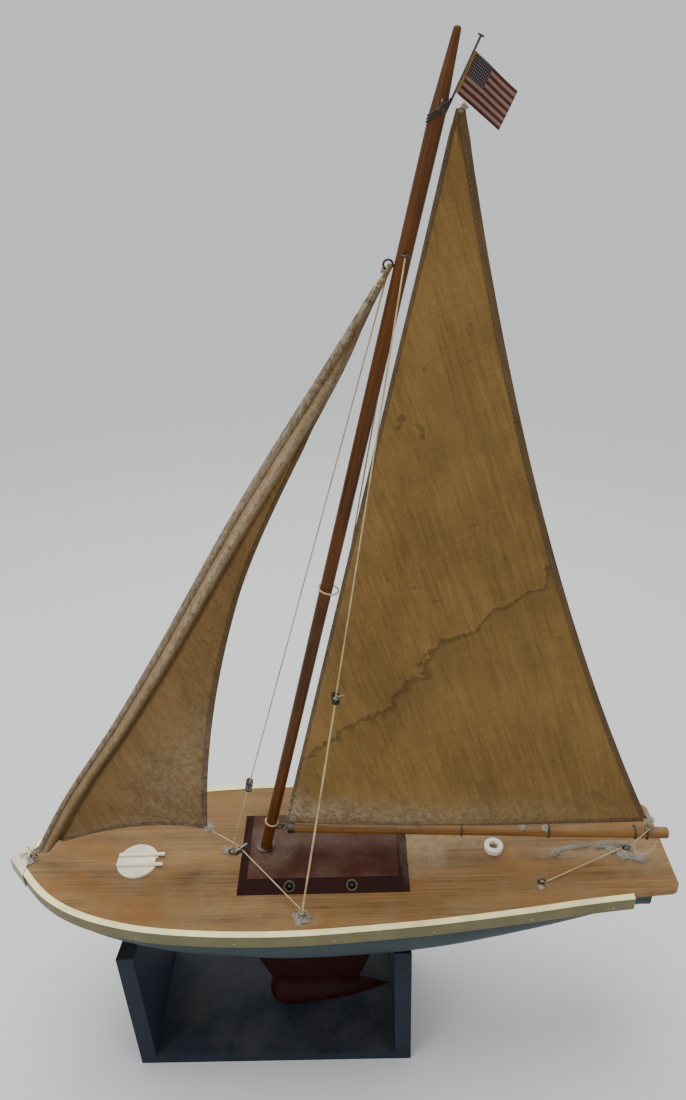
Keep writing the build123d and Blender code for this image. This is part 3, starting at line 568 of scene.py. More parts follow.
class Look(Enum):
    """Every finish on the boat and its stand."""

    DECK = Wood(
        "deck_board", 0.55, 0.36, 30.0, dust_colour=(0.25, 0.195, 0.105), bump=0.45,
        light=(0.255, 0.132, 0.039), dark=(0.114, 0.050, 0.0125), clear=(0.215, 0.090, 0.0130),
        pores=0.75,
        drifts=(
            (CABIN_LOW[0] - 0.012, 0.004, 0.026, 0.030, 0.8),
            (CABIN_LOW[0] - 0.05, -0.012, 0.06, 0.014, 0.7),
            (AFT_EYE[0] + 0.035, 0.006, 0.055, 0.014, 0.7),
            (AFT_EYE[0] - 0.01, 0.012, 0.025, 0.025, 0.5),
            (CHAIN_LOW[0], CHAIN_HIGH[1], 0.016, 0.010, 0.6),
            (CHAIN_LOW[0], CHAIN_LOW[1], 0.016, 0.010, 0.6)
        )
    )
    RAIL = Paint("rail_cream", 0.5, 0.04, dust_colour=(0.5, 0.44, 0.3), paint=(0.98, 0.90, 0.46),
                 under=(0.36, 0.26, 0.14), wear=0.25, bump=0.25, side=(0.135, 0.118, 0.047))
    CAP = Paint(
        "bow_cap_cream", 0.55, 0.15, paint=(0.70, 0.65, 0.44), under=(0.3, 0.24, 0.16), wear=0.3,
        side=(0.30, 0.27, 0.17)
    )
    HULL = Paint(
        "hull_blue_grey", 0.5, 0.05, paint=(0.017, 0.035, 0.038), under=(0.01, 0.015, 0.016),
        wear=0.5, specular=0.25
    )
    STAND = Paint(
        "stand_blue_black", 0.66, 0.4, 20.0, dust_colour=(0.085, 0.081, 0.074), dust_level=0.8,
        paint=(0.0105, 0.0160, 0.0285), under=(0.035, 0.032, 0.028), wear=0.5, chip_scale=70.0,
        bump=0.4, specular=0.2
    )
    KEEL = Paint(
        "keel_oxblood", 0.6, 0.1, dust_colour=(0.05, 0.03, 0.022), paint=(0.0190, 0.0010, 0.0006),
        under=(0.008, 0.001, 0.001), wear=0.4, specular=0.15
    )
    BULB = Paint("bulb_oxblood", 0.62, 0.35, 60.0, dust_colour=(0.05, 0.03, 0.024), dust_level=0.5,
                 paint=(0.0195, 0.0018, 0.0011), under=(0.05, 0.04, 0.032), wear=0.5, bump=0.4,
                 specular=0.15)
    CABIN = Paint("cabin_maroon", 0.5, 0.5, 26.0, dust_colour=(0.12, 0.085, 0.062), dust_level=0.9,
                  paint=(0.052, 0.0100, 0.0036), under=(0.015, 0.004, 0.002), wear=0.3,
                  side=(0.0205, 0.0031, 0.0009), side_level=(0.75, 0.95), specular=0.15,
                  drifts=((FOOT_LOW[0] + 0.006, 0.0, 0.028, 0.026, 0.75),
                          (CABIN_LOW[0] + 0.004, 0.0, 0.006, 0.05, 0.6),
                          (CABIN_LOW[0] + 0.06, -0.006, 0.07, 0.012, 0.35)))
    MAST = Wood(
        "mast_varnish", 0.42, 0.14, 130.0, dust_colour=(0.2, 0.13, 0.05), dust_level=-0.3, bump=0.2,
        light=(0.100, 0.030, 0.0008), dark=(0.030, 0.0085, 0.0003), pores=0.4, specular=0.22,
        turn=(0, math.radians(90) + MAST_LEAN, 0)
    )
    BOOM = Wood(
        "boom_varnish", 0.45, 0.55, 55.0, dust_colour=(0.22, 0.17, 0.09), dust_level=0.45, bump=0.2,
        light=(0.21, 0.090, 0.012), dark=(0.11, 0.040, 0.004), pores=0.3
    )
    SOFTWOOD = Wood(
        "bare_softwood", 0.7, 0.1, light=(0.6, 0.42, 0.24), dark=(0.42, 0.27, 0.14), pores=0.2
    )
    STICK = Wood(
        "pale_stick", 0.6, 0.1, light=(0.84, 0.77, 0.58), dark=(0.68, 0.60, 0.42), pores=0.2
    )
    SAIL = Cloth(
        "sailcloth", 0.9, 0.12, dust_colour=(0.32, 0.27, 0.19), light=(0.235, 0.135, 0.036),
        dark=(0.124, 0.067, 0.0165), stain=(0.045, 0.024, 0.006), stains=0.45, bump=0.35,
        tide=(-0.085, 0.375, 1.0), marked=True
    )
    JIB_SAIL = Cloth(
        "jib_sailcloth", 0.9, 0.45, 110.0, dust_colour=(0.32, 0.27, 0.19), dust_level=0.15,
        light=(0.225, 0.13, 0.042), dark=(0.118, 0.064, 0.018), stain=(0.055, 0.029, 0.009),
        stains=0.35, bump=0.35, marked=True
    )
    HEM = Cloth(
        "sail_hem", 0.92, 0.12, dust_colour=(0.30, 0.25, 0.18), light=(0.125, 0.074, 0.029),
        dark=(0.058, 0.034, 0.013), stain=(0.03, 0.017, 0.007), stains=0.4, bump=0.45, marked=True
    )
    THREAD = Cord("stitching", 0.85, 0.1, light=(0.24, 0.16, 0.08), dark=(0.10, 0.06, 0.03))
    CORD = Cord(
        "cotton_cord", 0.85, 0.05, bump=0.5, light=(0.56, 0.44, 0.24), dark=(0.28, 0.20, 0.09)
    )
    KNOT = Cord(
        "dusty_knot", 0.92, 0.1, bump=0.5, light=(0.33, 0.27, 0.18), dark=(0.13, 0.10, 0.06)
    )
    DARK_THREAD = Cord(
        "dark_thread", 0.85, 0.2, light=(0.05, 0.032, 0.02), dark=(0.018, 0.012, 0.008)
    )
    LINT = Cord("lint", 0.95, 0.0, light=(0.46, 0.42, 0.35), dark=(0.26, 0.23, 0.18))
    WIRE = Metal(
        "dark_wire", 0.45, 0.2, paint=(0.07, 0.055, 0.04), under=(0.04, 0.018, 0.01), wear=0.7
    )
    STEEL = Metal(
        "dull_steel", 0.4, 0.2, paint=(0.42, 0.41, 0.40), under=(0.18, 0.09, 0.05), wear=0.6
    )
    EYELET = Metal(
        "eyelet_metal", 0.4, 0.15, dust_level=0.6, paint=(0.10, 0.08, 0.055),
        under=(0.03, 0.02, 0.012), wear=0.6
    )
    BLACK = Paint(
        "porthole_black", 0.3, 0.1, paint=(0.004, 0.004, 0.0045), under=(0.01, 0.01, 0.01), wear=0.2
    )
    BOWSIE = Metal(
        "bowsie_grey", 0.5, 0.4, paint=(0.13, 0.13, 0.135), under=(0.05, 0.045, 0.04), wear=0.5,
        shine=0.6
    )
    DARK_BOWSIE = Metal(
        "bowsie_dark", 0.5, 0.2, paint=(0.022, 0.022, 0.025), under=(0.05, 0.04, 0.03), wear=0.5,
        shine=0.5
    )
    DISC = Paint(
        "hatch_cream", 0.5, 0.06, paint=(0.84, 0.79, 0.60), under=(0.36, 0.30, 0.19), wear=0.35
    )
    GLAZE = Paint(
        "glazed_ring", 0.15, 0.06, paint=(0.72, 0.69, 0.58), under=(0.4, 0.34, 0.25), wear=0.25,
        coat=0.8, bump=0.05
    )
    FLAG = StripedFlag("flag_print", 0.85, 0.1, bump=0.25)
    PIN = Metal(
        "blued_pin", 0.35, 0.1, paint=(0.05, 0.05, 0.07), under=(0.05, 0.03, 0.02), wear=0.4
    )

    def material(self) -> bpy.types.Material:
        """The finish's material."""
        return self.value.build()


NODE_LOOKS: dict[Look, tuple[str, ...]] = {
    Look.STAND: ("stand_base", "stand_end_fore", "stand_end_aft"),
    Look.STEEL: ("stand_screws", "keel_bolts", "keel_nuts", "keel_washers", "rail_pins"),
    Look.HULL: ("hull_shell",), Look.DECK: ("deck",),
    Look.RAIL: ("rub_rail_port", "rub_rail_starboard"), Look.CAP: ("bow_cap",),
    Look.SOFTWOOD: ("deck_beams", "mast_step"), Look.KEEL: ("keel_fin",), Look.BULB: ("keel_bulb",),
    Look.CABIN: ("cabin_trunk",), Look.EYELET: ("porthole_rims",), Look.MAST: ("mast",),
    Look.BOOM: ("boom",),
    Look.WIRE: (
        "mast_collar", "mast_eye", "shroud_eyes", "stay_hound_eye", "masthead_eye", "bow_eye",
        "stay_eye", "aft_sheet_eye", "fore_sheet_eye", "chainplate_eyes", "boom_eye",
        "boom_ferrule",
    ),
    Look.CORD: (
        "tack_lashing", "luff_ring", "shroud_port", "shroud_starboard", "inner_stay", "jib_sheet",
        "mainsheet_lower", "jib_lashings",
    ),
    Look.DARK_THREAD: ("boom_lashings",),
    Look.DARK_BOWSIE: ("shroud_bowsie_port", "shroud_bowsie_starboard", "stay_bowsie"),
    Look.BOWSIE: ("jib_sheet_bowsie",), Look.PIN: ("flag_pin",), Look.DISC: ("hatch_disc",),
    Look.STICK: ("hatch_sticks",), Look.GLAZE: ("fairlead_ring",),
}


# ------------------------------------------------------------------ making pieces
def piece(name: str, bm: bmesh.types.BMesh, look: Look, body: str) -> bpy.types.Object:
    """Object made from a bmesh, dressed and riding on its body.

    Args:
        name: the piece's name.
        bm: its shape, in place. It is freed.
        look: its finish.

    Returns:
        The new object.
    """
    mesh = bpy.data.meshes.new(name)
    bm.to_mesh(mesh)
    bm.free()
    mesh.shade_smooth()
    made = bpy.data.objects.new(name, mesh)
    bpy.context.scene.collection.objects.link(made)
    mesh.materials.append(look.material())
    if body:
        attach(made, body)
    LOG.info("made %s on %s", name, body or "two bodies")
    return made


def line(name: str, points: list[Vector], radius: float, look: Look, body: str) -> bpy.types.Object:
    """Round cord along a smooth line, as a mesh.

    Args:
        name: the piece's name.
        points: the points that steer its line.
        radius: half its thickness.
        look: its finish.

    Returns:
        The new object.
    """
    curve = bpy.data.curves.new(name, "CURVE")
    curve.dimensions = "3D"
    curve.bevel_depth = radius
    curve.bevel_resolution = 2
    curve.resolution_u = 4
    curve.use_fill_caps = True
    spline = curve.splines.new("NURBS")
    spline.points.add(len(points) - 1)
    for target, point in zip(spline.points, points):
        target.co = (*point, 1)
    spline.order_u = min(3, len(points))
    spline.use_endpoint_u = True
    source = bpy.data.objects.new(name + "_line", curve)
    mesh = bpy.data.meshes.new_from_object(source)
    bpy.data.objects.remove(source)
    bpy.data.curves.remove(curve)
    bm = bmesh.new()
    bm.from_mesh(mesh)
    bpy.data.meshes.remove(mesh)
    bmesh.ops.recalc_face_normals(bm, faces=bm.faces)
    return piece(name, bm, look, body)

def knot_points(centre: Vector, size: float, seed: int) -> list[Vector]:
    """Points of a small overhand tangle round a centre.

    Args:
        centre: its middle.
        size: its radius.
        seed: chooses its shape.

    Returns:
        The points, in order.
    """
    dice = random.Random(seed)
    points = []
    for step in range(KNOT_STEPS):
        angle = 2 * math.pi * KNOT_TURNS * step / KNOT_STEPS
        tilt = 1.3 * angle / KNOT_TURNS + dice.uniform(-0.3, 0.3)
        reach = size * dice.uniform(0.55, 1.0)
        direction = Vector(
            (math.cos(angle) * math.cos(tilt), math.sin(angle), math.cos(angle) * math.sin(tilt))
        )
        points.append(centre + direction * reach)
    return points


def mm(x: float, y: float, z: float) -> Vector:
    """Offset given in millimetres."""
    return Vector((x, y, z)) * MM


def thicken(made: bpy.types.Object, thickness: float, offset: float = 0.0) -> None:
    """Gives a sheet its thickness."""
    shell = made.modifiers.new("thickness", "SOLIDIFY")
    shell.thickness = thickness
    shell.offset = offset


def knot(name: str, centre: Vector, size: float, seed: int, body: str, look: Look = Look.KNOT,
         radius: float = 0.5 * MM, tails: tuple = ()) -> None:
    """Tied lump of cord with its loose ends.

    Args:
        name: the piece's name.
        centre: its middle.
        size: its radius.
        seed: chooses its shape.
        body: the body it rides on.
        look: its finish.
        radius: half the cord's thickness.
        tails: where each loose end goes, in millimetres from the middle.
    """
    line(name, knot_points(centre, size, seed), radius, look, body)
    dice = random.Random(seed + 500)
    for number, tail in enumerate(tails):
        reach = mm(*tail)
        points = [centre]
        for step in range(1, 6):
            sway = Vector(
                (dice.uniform(-1, 1), dice.uniform(-1, 1), dice.uniform(-0.2, 1))
            ) * reach.length * 0.22
            points.append(centre + reach * (step / 5) + sway)
        line(f"{name}_end_{number + 1}", points, radius * 0.75, look, body)


def lint(name: str, centre: Vector, size: float, seed: int, body: str, flat: float = 0.35) -> None:
    """Tuft of fluff: one fine fibre wandering through a small space.

    Args:
        name: the piece's name.
        centre: its middle.
        size: how far it reaches.
        seed: chooses its shape.
        body: the body it rides on.
        flat: its height as a share of its width.
    """
    dice = random.Random(seed)
    points = []
    for _ in range(LINT_SPOTS):
        spot = Vector((dice.gauss(0, 0.34), dice.gauss(0, 0.34), abs(dice.gauss(0, 0.4)) * flat))
        points.append(centre + spot * size)
    line(name, points, LINT_RADIUS, Look.LINT, body)


def lint_roll(name: str, path: list[Vector], size: float, seed: int, floor: float) -> None:
    """Long roll of fluff lying on the deck.

    Args:
        name: the piece's name.
        path: the line it lies along.
        size: half its thickness.
        seed: chooses its shape.
        floor: the height of the surface under it.
    """
    dice = random.Random(seed)
    points = []
    for _ in range(ROLL_SPOTS):
        place = dice.random() * (len(path) - 1)
        step = min(int(place), len(path) - 2)
        off = Vector((dice.gauss(0, 0.6), dice.gauss(0, 0.5), 0)) * size
        spot = path[step].lerp(path[step + 1], place - step) + off
        spot.z = floor + abs(dice.gauss(0.3, 0.5)) * size
        points.append(spot)
    points.sort(key=lambda spot: (spot - path[0]).length + dice.uniform(-2.2, 2.2) * size)
    line(name, points, ROLL_RADIUS, Look.LINT, "hull")


def spots_of(node: str) -> list[Vector]:
    """Places of a CAD node's vertices."""
    return [vertex.co.copy() for vertex in frame["nodes"][node].data.vertices]


def extreme(node: str, direction: Vector) -> Vector:
    """A CAD node's vertex that lies furthest in a direction."""
    return max(spots_of(node), key=lambda spot: spot.dot(direction))


def centred(spot: Vector) -> Vector:
    """The same place on the boat's middle plane."""
    return Vector((spot.x, 0, spot.z))


def middle(node: str) -> Vector:
    """Middle of a CAD node's box."""
    low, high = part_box(node)
    return (Vector(low) + Vector(high)) / 2


def bump_round(value: float, centre: float, width: float) -> float:
    """A smooth hump, 1 at its centre."""
    return math.exp(-(((value - centre) / width) ** 2))


# ------------------------------------------------------------------ sails
@dataclass
class Sail:
    """A three-cornered cotton sail with a hem sewn along each edge."""

    name: str
    node: str
    body: str
    leech_hollow: float
    foot_arch: float
    belly: float
    head_width: float
    seed: int
    look: Look = Look.SAIL
    cloth: float = 0.6 * MM
    hem_width: float = 4.6 * MM
    luff_hem_width: float = 2.4 * MM
    hem_thickness: float = 1.7 * MM
    columns: int = 64
    rows: int = 170

    def __post_init__(self) -> None:
        """Finds the sail's corners on its CAD solid."""
        self.clew = Vector((0, 0, 0))
        self.find_corners()
        self.up = (self.head - self.tack).normalized()
        self.square = (self.clew - self.tack).cross(self.up).normalized()
        if self.square.y < 0:
            self.square = -self.square

    def find_corners(self) -> None:
        """Sets tack, head, head_aft and clew."""
        raise NotImplementedError

    def luff_bow(self, rise: float) -> float:
        """How far the luff stands forward of a straight line."""
        return 0.0

    def leech_share(self, rise: float) -> float:
        """Share of the leech's hollow at a height."""
        return 4 * rise * (1 - rise)

    def flat_point(self, across: float, rise: float) -> Vector:
        """Point of the flat sail, from luff to leech and from foot to head."""
        luff = self.tack.lerp(self.head, rise) - AFT * self.luff_bow(rise)
        leech = self.clew.lerp(self.head_aft, rise)
        chord = (self.head_aft - self.clew).normalized()
        inward = self.square.cross(chord)
        if inward.x < 0:
            inward = -inward
        leech += inward * self.leech_hollow * self.leech_share(rise)
        spot = luff.lerp(leech, across)
        lift = self.foot_arch * 4 * across * (1 - across) * (1 - rise) ** 3
        return spot + UP * lift

    def width(self, rise: float) -> float:
        """Width of the sail at a height."""
        return (self.flat_point(1, rise) - self.flat_point(0, rise)).length

    def folds(
        self, spot: Vector, corner: Vector, count: float, reach: float, depth: float
    ) -> float:
        """Creases that fan out from a pulled corner."""
        away = spot - corner
        distance = away.length
        angle = math.atan2(away.z, away.x)
        return depth * math.sin(count * angle) * math.exp(-distance / reach) * min(
            distance / (12 * MM), 1
        )

    def creased(self, spot: Vector, fans: tuple) -> float:
        """Sum of the fans, each a corner, a count, and a reach and a depth in millimetres."""
        return sum(
            self.folds(spot, corner, count, reach * MM, depth * MM)
            for corner, count, reach, depth in fans
        )

    def bulge(self, across: float, rise: float, spot: Vector) -> float:
        """How far the cloth stands out of its flat plane."""
        raise NotImplementedError

    def dusty(self, across: float, rise: float) -> float:
        """How much dust lies there, from 0 to 1."""
        raise NotImplementedError

    def point(self, across: float, rise: float) -> Vector:
        """Point of the sail as it hangs."""
        spot = self.flat_point(across, rise)
        ripple = noise.noise(spot * 28 + Vector((self.seed, 0, 0))) * 1.6 * MM
        ripple += noise.noise(spot * 90 + Vector((0, 0, self.seed))) * 0.45 * MM
        held = min(1.0, 6 * across, 6 * (1 - across), 6 * rise, 8 * (1 - rise))
        return spot + self.square * (self.bulge(across, rise, spot) + ripple * max(held, 0.15))

    def strip(
        self, name: str, place: Callable, steps: tuple[int, int], thickness: float, look: Look
    ) -> bpy.types.Object:
        """Sheet of cloth over part of the sail.

        Args:
            name: the piece's name.
            place: gives across and rise from the strip's own two shares.
            steps: how many faces each way.
            thickness: the cloth's thickness.
            look: its finish.

        Returns:
            The new object.
        """
        bm = bmesh.new()
        bm.loops.layers.uv.new("UVMap")
        marks = bm.verts.layers.float.new("dust")
        bmesh.ops.create_grid(bm, x_segments=steps[0], y_segments=steps[1], size=0.5, calc_uvs=True)
        for vertex in bm.verts:
            across, rise = place(vertex.co.x + 0.5, vertex.co.y + 0.5)
            vertex.co = self.point(across, rise)
            vertex[marks] = self.dusty(across, rise)
        bmesh.ops.recalc_face_normals(bm, faces=bm.faces)
        made = piece(name, bm, look, self.body)
        thicken(made, thickness)
        return made

    def hem(self, side: str) -> bpy.types.Object:
        """Folded hem along the luff, the leech or the foot."""
        width = self.luff_hem_width if side == "luff" else self.hem_width

        def along_luff(share: float, rise: float) -> tuple[float, float]:
            """Strip beside the luff."""
            return share * min(width / max(self.width(rise), 1 * MM), 0.5), rise

        def along_leech(share: float, rise: float) -> tuple[float, float]:
            """Strip beside the leech."""
            return 1 - share * min(width / max(self.width(rise), 1 * MM), 0.5), rise

        def along_foot(across: float, share: float) -> tuple[float, float]:
            """Strip above the foot."""
            return across, share * width / (self.head - self.tack).length

        ways = {"luff": (along_luff, (3, self.rows)), "leech": (along_leech, (3, self.rows)),
                "foot": (along_foot, (self.columns * 2, 3))}
        place, steps = ways[side]
        made = self.strip(f"{self.name}_{side}_hem", place, steps, self.hem_thickness, Look.HEM)
        edge = made.modifiers.new("rounded", "BEVEL")
        edge.width = 0.45 * MM
        edge.segments = 2
        edge.limit_method = "ANGLE"
        return made

    def stitches(self, side: str, spacing: float = 3.4 * MM) -> bpy.types.Object:
        """Row of short stitches along the inner edge of a hem, on both faces."""
        length = (self.head - self.tack).length if side != "foot" else (
            self.clew - self.tack
        ).length
        count = int(length / spacing)
        bm = bmesh.new()
        for number in range(count):
            share = (number + 0.5) / count
            inset = (self.luff_hem_width if side == "luff" else self.hem_width) - 0.9 * MM
            if side == "foot":
                here = (share, inset / (self.head - self.tack).length)
                there = (share + 0.55 / count, here[1])
            else:
                reach = min(inset / max(self.width(share), 1 * MM), 0.5)
                across = reach if side == "luff" else 1 - reach
                here = (across, share)
                there = (across, min(share + 0.55 / count, 1.0))
            start, end = self.point(*here), self.point(*there)
            run = end - start
            if run.length < 0.4 * MM:
                continue
            for face in (1, -1):
                lift = self.square * face * (self.hem_thickness / 2 + 0.03 * MM)
                turn = run.to_track_quat("X", "Y").to_matrix().to_4x4()
                spot = Matrix.Translation((start + end) / 2 + lift) @ turn
                size = Matrix.Diagonal((run.length / 2, 0.22 * MM, 0.22 * MM, 1))
                bmesh.ops.create_icosphere(bm, subdivisions=1, radius=1.0, matrix=spot @ size)
        return piece(f"{self.name}_{side}_stitches", bm, Look.THREAD, self.body)

    def build(self) -> None:
        """Makes the cloth, its hems and its stitching."""
        cloth = self.strip(
            self.name + "_cloth", lambda across, rise: (across, rise), (self.columns, self.rows),
            self.cloth, self.look
        )
        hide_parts(self.node)
        hems = [self.hem(side) for side in ("luff", "leech", "foot")]
        area = self.cloth_area()
        for side in ("luff", "leech", "foot"):
            self.stitches(side)

    def cloth_area(self) -> float:
        """Estimate of the cut's flat area, 18% more than the outline's for the jib."""
        rows = 200
        step = 1 / rows
        rise = (self.head - self.tack).length
        lean = self.up.cross((self.clew - self.tack).normalized()).length
        return sum(self.width((row + 0.5) * step) for row in range(rows)) * step * rise * lean

    def held_by(self) -> list[str]:
        """What the sail hangs from."""
        raise NotImplementedError


@dataclass
class Mainsail(Sail):
    """The big sail behind the mast, laced to the boom."""

    shelf: float = 13 * MM

    def find_corners(self) -> None:
        """Tack and clew are on the boom, the head under the truck."""
        self.tack = extreme(self.node, Vector((1, 0, -0.3)))
        self.clew = extreme(self.node, Vector((-1, 0, -0.3)))
        self.head = extreme(self.node, Vector((0.2, 0, 1)))
        self.head_aft = self.head + (self.clew - self.tack).normalized() * self.head_width

    def bulge(self, across: float, rise: float, spot: Vector) -> float:
        """A gentle belly, creases at the clew and tack, and a slack leech."""
        fill = self.belly * math.sin(math.pi * across ** 0.85) * math.sin(
            math.pi * min(rise + 0.12, 1.0)
        ) ** 0.7
        fans = ((self.clew, 21, 70, 1.8), (self.tack, 17, 45, 1.0), (self.head, 15, 90, 1.2))
        creases = self.creased(spot, fans)
        height = rise * (self.head - self.tack).length
        slack = math.sin(math.pi * min(across * 1.25 + 0.02, 1.0)) ** 0.6 if across < 0.78 else 0.0
        shelf = self.shelf * slack * (
            1 - math.exp(-height / (13 * MM))
        ) * math.exp(-height / (75 * MM))
        return fill + shelf + creases * min(1.0, 12 * across, 12 * (1 - across), 25 * rise)

    def dusty(self, across: float, rise: float) -> float:
        """Dust along the foot, where it slid down, and a little at the hems."""
        low = bump_round(rise, 0.028, 0.034) * max(0.0, 1 - 1.15 * max(across - 0.1, 0))
        return 0.85 * low + 0.2 * bump_round(across, 0.0, 0.03)

    def held_by(self) -> list[str]:
        """Mast and boom."""
        return ["mast", "boom"]


@dataclass
class Jib(Sail):
    """The small sail before the mast, with a rolled luff and a deep fold beside it.

    The roll, the ridge and the valley are each a height, and a middle and a width from the luff.
    """

    roll: tuple = (2.4 * MM, 3.0 * MM, 3.0 * MM)
    ridge: tuple = (6.5 * MM, 13.5 * MM, 6.0 * MM)
    valley: tuple = (-4.5 * MM, 23 * MM, 4.0 * MM)

    def find_corners(self) -> None:
        """Tack at the bow eye, head at the hound, clew at the sheet."""
        self.tack = extreme(self.node, Vector((1, 0, -1)))
        self.head = extreme(self.node, Vector((0.3, 0, 1)))
        self.head_aft = self.head + AFT * self.head_width
        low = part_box(self.node)[0]
        after = [spot for spot in spots_of(self.node) if spot.z < low[2] + 30 * MM]
        self.clew = min(after, key=lambda spot: spot.x)
        for name in ("tack", "clew", "head", "head_aft"):
            getattr(self, name).y = 0.0

    def bulge(self, across: float, rise: float, spot: Vector) -> float:
        """Rolled luff, fold, belly, and creases that run down to the clew."""
        width = self.width(rise)
        away = across * width
        slim = min(width / (30 * MM), 1.0)
        roll = self.roll[0] * bump_round(away, *self.roll[1:])
        shelf = self.ridge[0] * slim * bump_round(away, *self.ridge[1:])
        valley = self.valley[0] * slim * bump_round(away, *self.valley[1:])
        fill = self.belly * slim * math.sin(math.pi * across ** 0.8) * (
            0.55 + 0.45 * math.sin(math.pi * rise)
        )
        creases = self.creased(spot, ((self.clew, 13, 75, 3.0), (self.tack, 12, 50, 1.0)))
        return roll + shelf + valley + fill + creases * min(
            1.0, 10 * across, 14 * (1 - across), 20 * rise
        )

    def luff_bow(self, rise: float) -> float:
        """The luff hangs forward of its line low down and near the top."""
        return 4.5 * MM * bump_round(rise, 0.13, 0.12) + 4.5 * MM * bump_round(rise, 0.70, 0.2)

    def leech_share(self, rise: float) -> float:
        """The hollow dies out towards the head."""
        fade = 1 - 0.5 * (max(rise - 0.5, 0) / 0.4) ** 1.5
        return 4 * rise * (1 - rise) * max(fade, 0.2)

    def dusty(self, across: float, rise: float) -> float:
        """Dust on the rolled luff, and brushed along the folds near the clew."""
        away = across * self.width(rise)
        fold = bump_round(away, 15 * MM, 6 * MM) * (0.35 + 0.65 * bump_round(rise, 0.62, 0.28))
        luff = 0.8 * bump_round(away, 1 * MM, 4 * MM) + fold
        clew = 0.45 * bump_round(across, 0.9, 0.4) * bump_round(rise, 0.14, 0.15)
        return min(luff + clew + 0.25 * bump_round(rise, 0, 0.03), 1.0)

    def held_by(self) -> list[str]:
        """Bow eye and hound."""
        return ["bow_eye", "stay_hound_eye"]


# ------------------------------------------------------------------ flag
@dataclass
class Flag:
    """Small printed flag, sewn round its pin and drooping."""

    fly: float = 30 * MM
    hoist: float = 21.5 * MM
    thickness: float = 0.35 * MM
    columns: int = 44
    rows: int = 34

    def build(self) -> None:
        """Makes the cloth from the CAD solid's corners."""
        pin = Vector(JOINTS["flag_swivel"]["axis"]).normalized()
        top = centred(extreme("flag", pin + Vector((0.6, 0, 0))))
        far = centred(extreme("flag", Vector((-1, 0, 0.2))))
        droop = (far - top).normalized()
        bm = bmesh.new()
        bm.loops.layers.uv.new("UVMap")
        bmesh.ops.create_grid(
            bm, x_segments=self.columns, y_segments=self.rows, size=0.5, calc_uvs=True
        )
        for vertex in bm.verts:
            along, rise = vertex.co.x + 0.5, vertex.co.y + 0.5
            spot = top + droop * self.fly * along - pin * self.hoist * (1 - rise)
            wave = 1.6 * MM * math.sin(2.2 * math.pi * along + 0.8 * rise) * along
            curl = 2.6 * MM * along ** 3 * (1 - rise)
            lift = 0.6 * MM * math.sin(3 * along + 2 * rise) * along
            vertex.co = spot + PORT * (wave + curl) + UP * lift
        bmesh.ops.recalc_face_normals(bm, faces=bm.faces)
        area = sum(face.calc_area() for face in bm.faces)
        cloth = piece("flag_cloth", bm, Look.FLAG, "flag")
        thicken(cloth, self.thickness)
        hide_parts("flag")
        sleeve = line("flag_sleeve", [top - pin * self.hoist, top - pin * self.hoist / 2, top],
                      1.0 * MM, Look.SAIL, "flag")


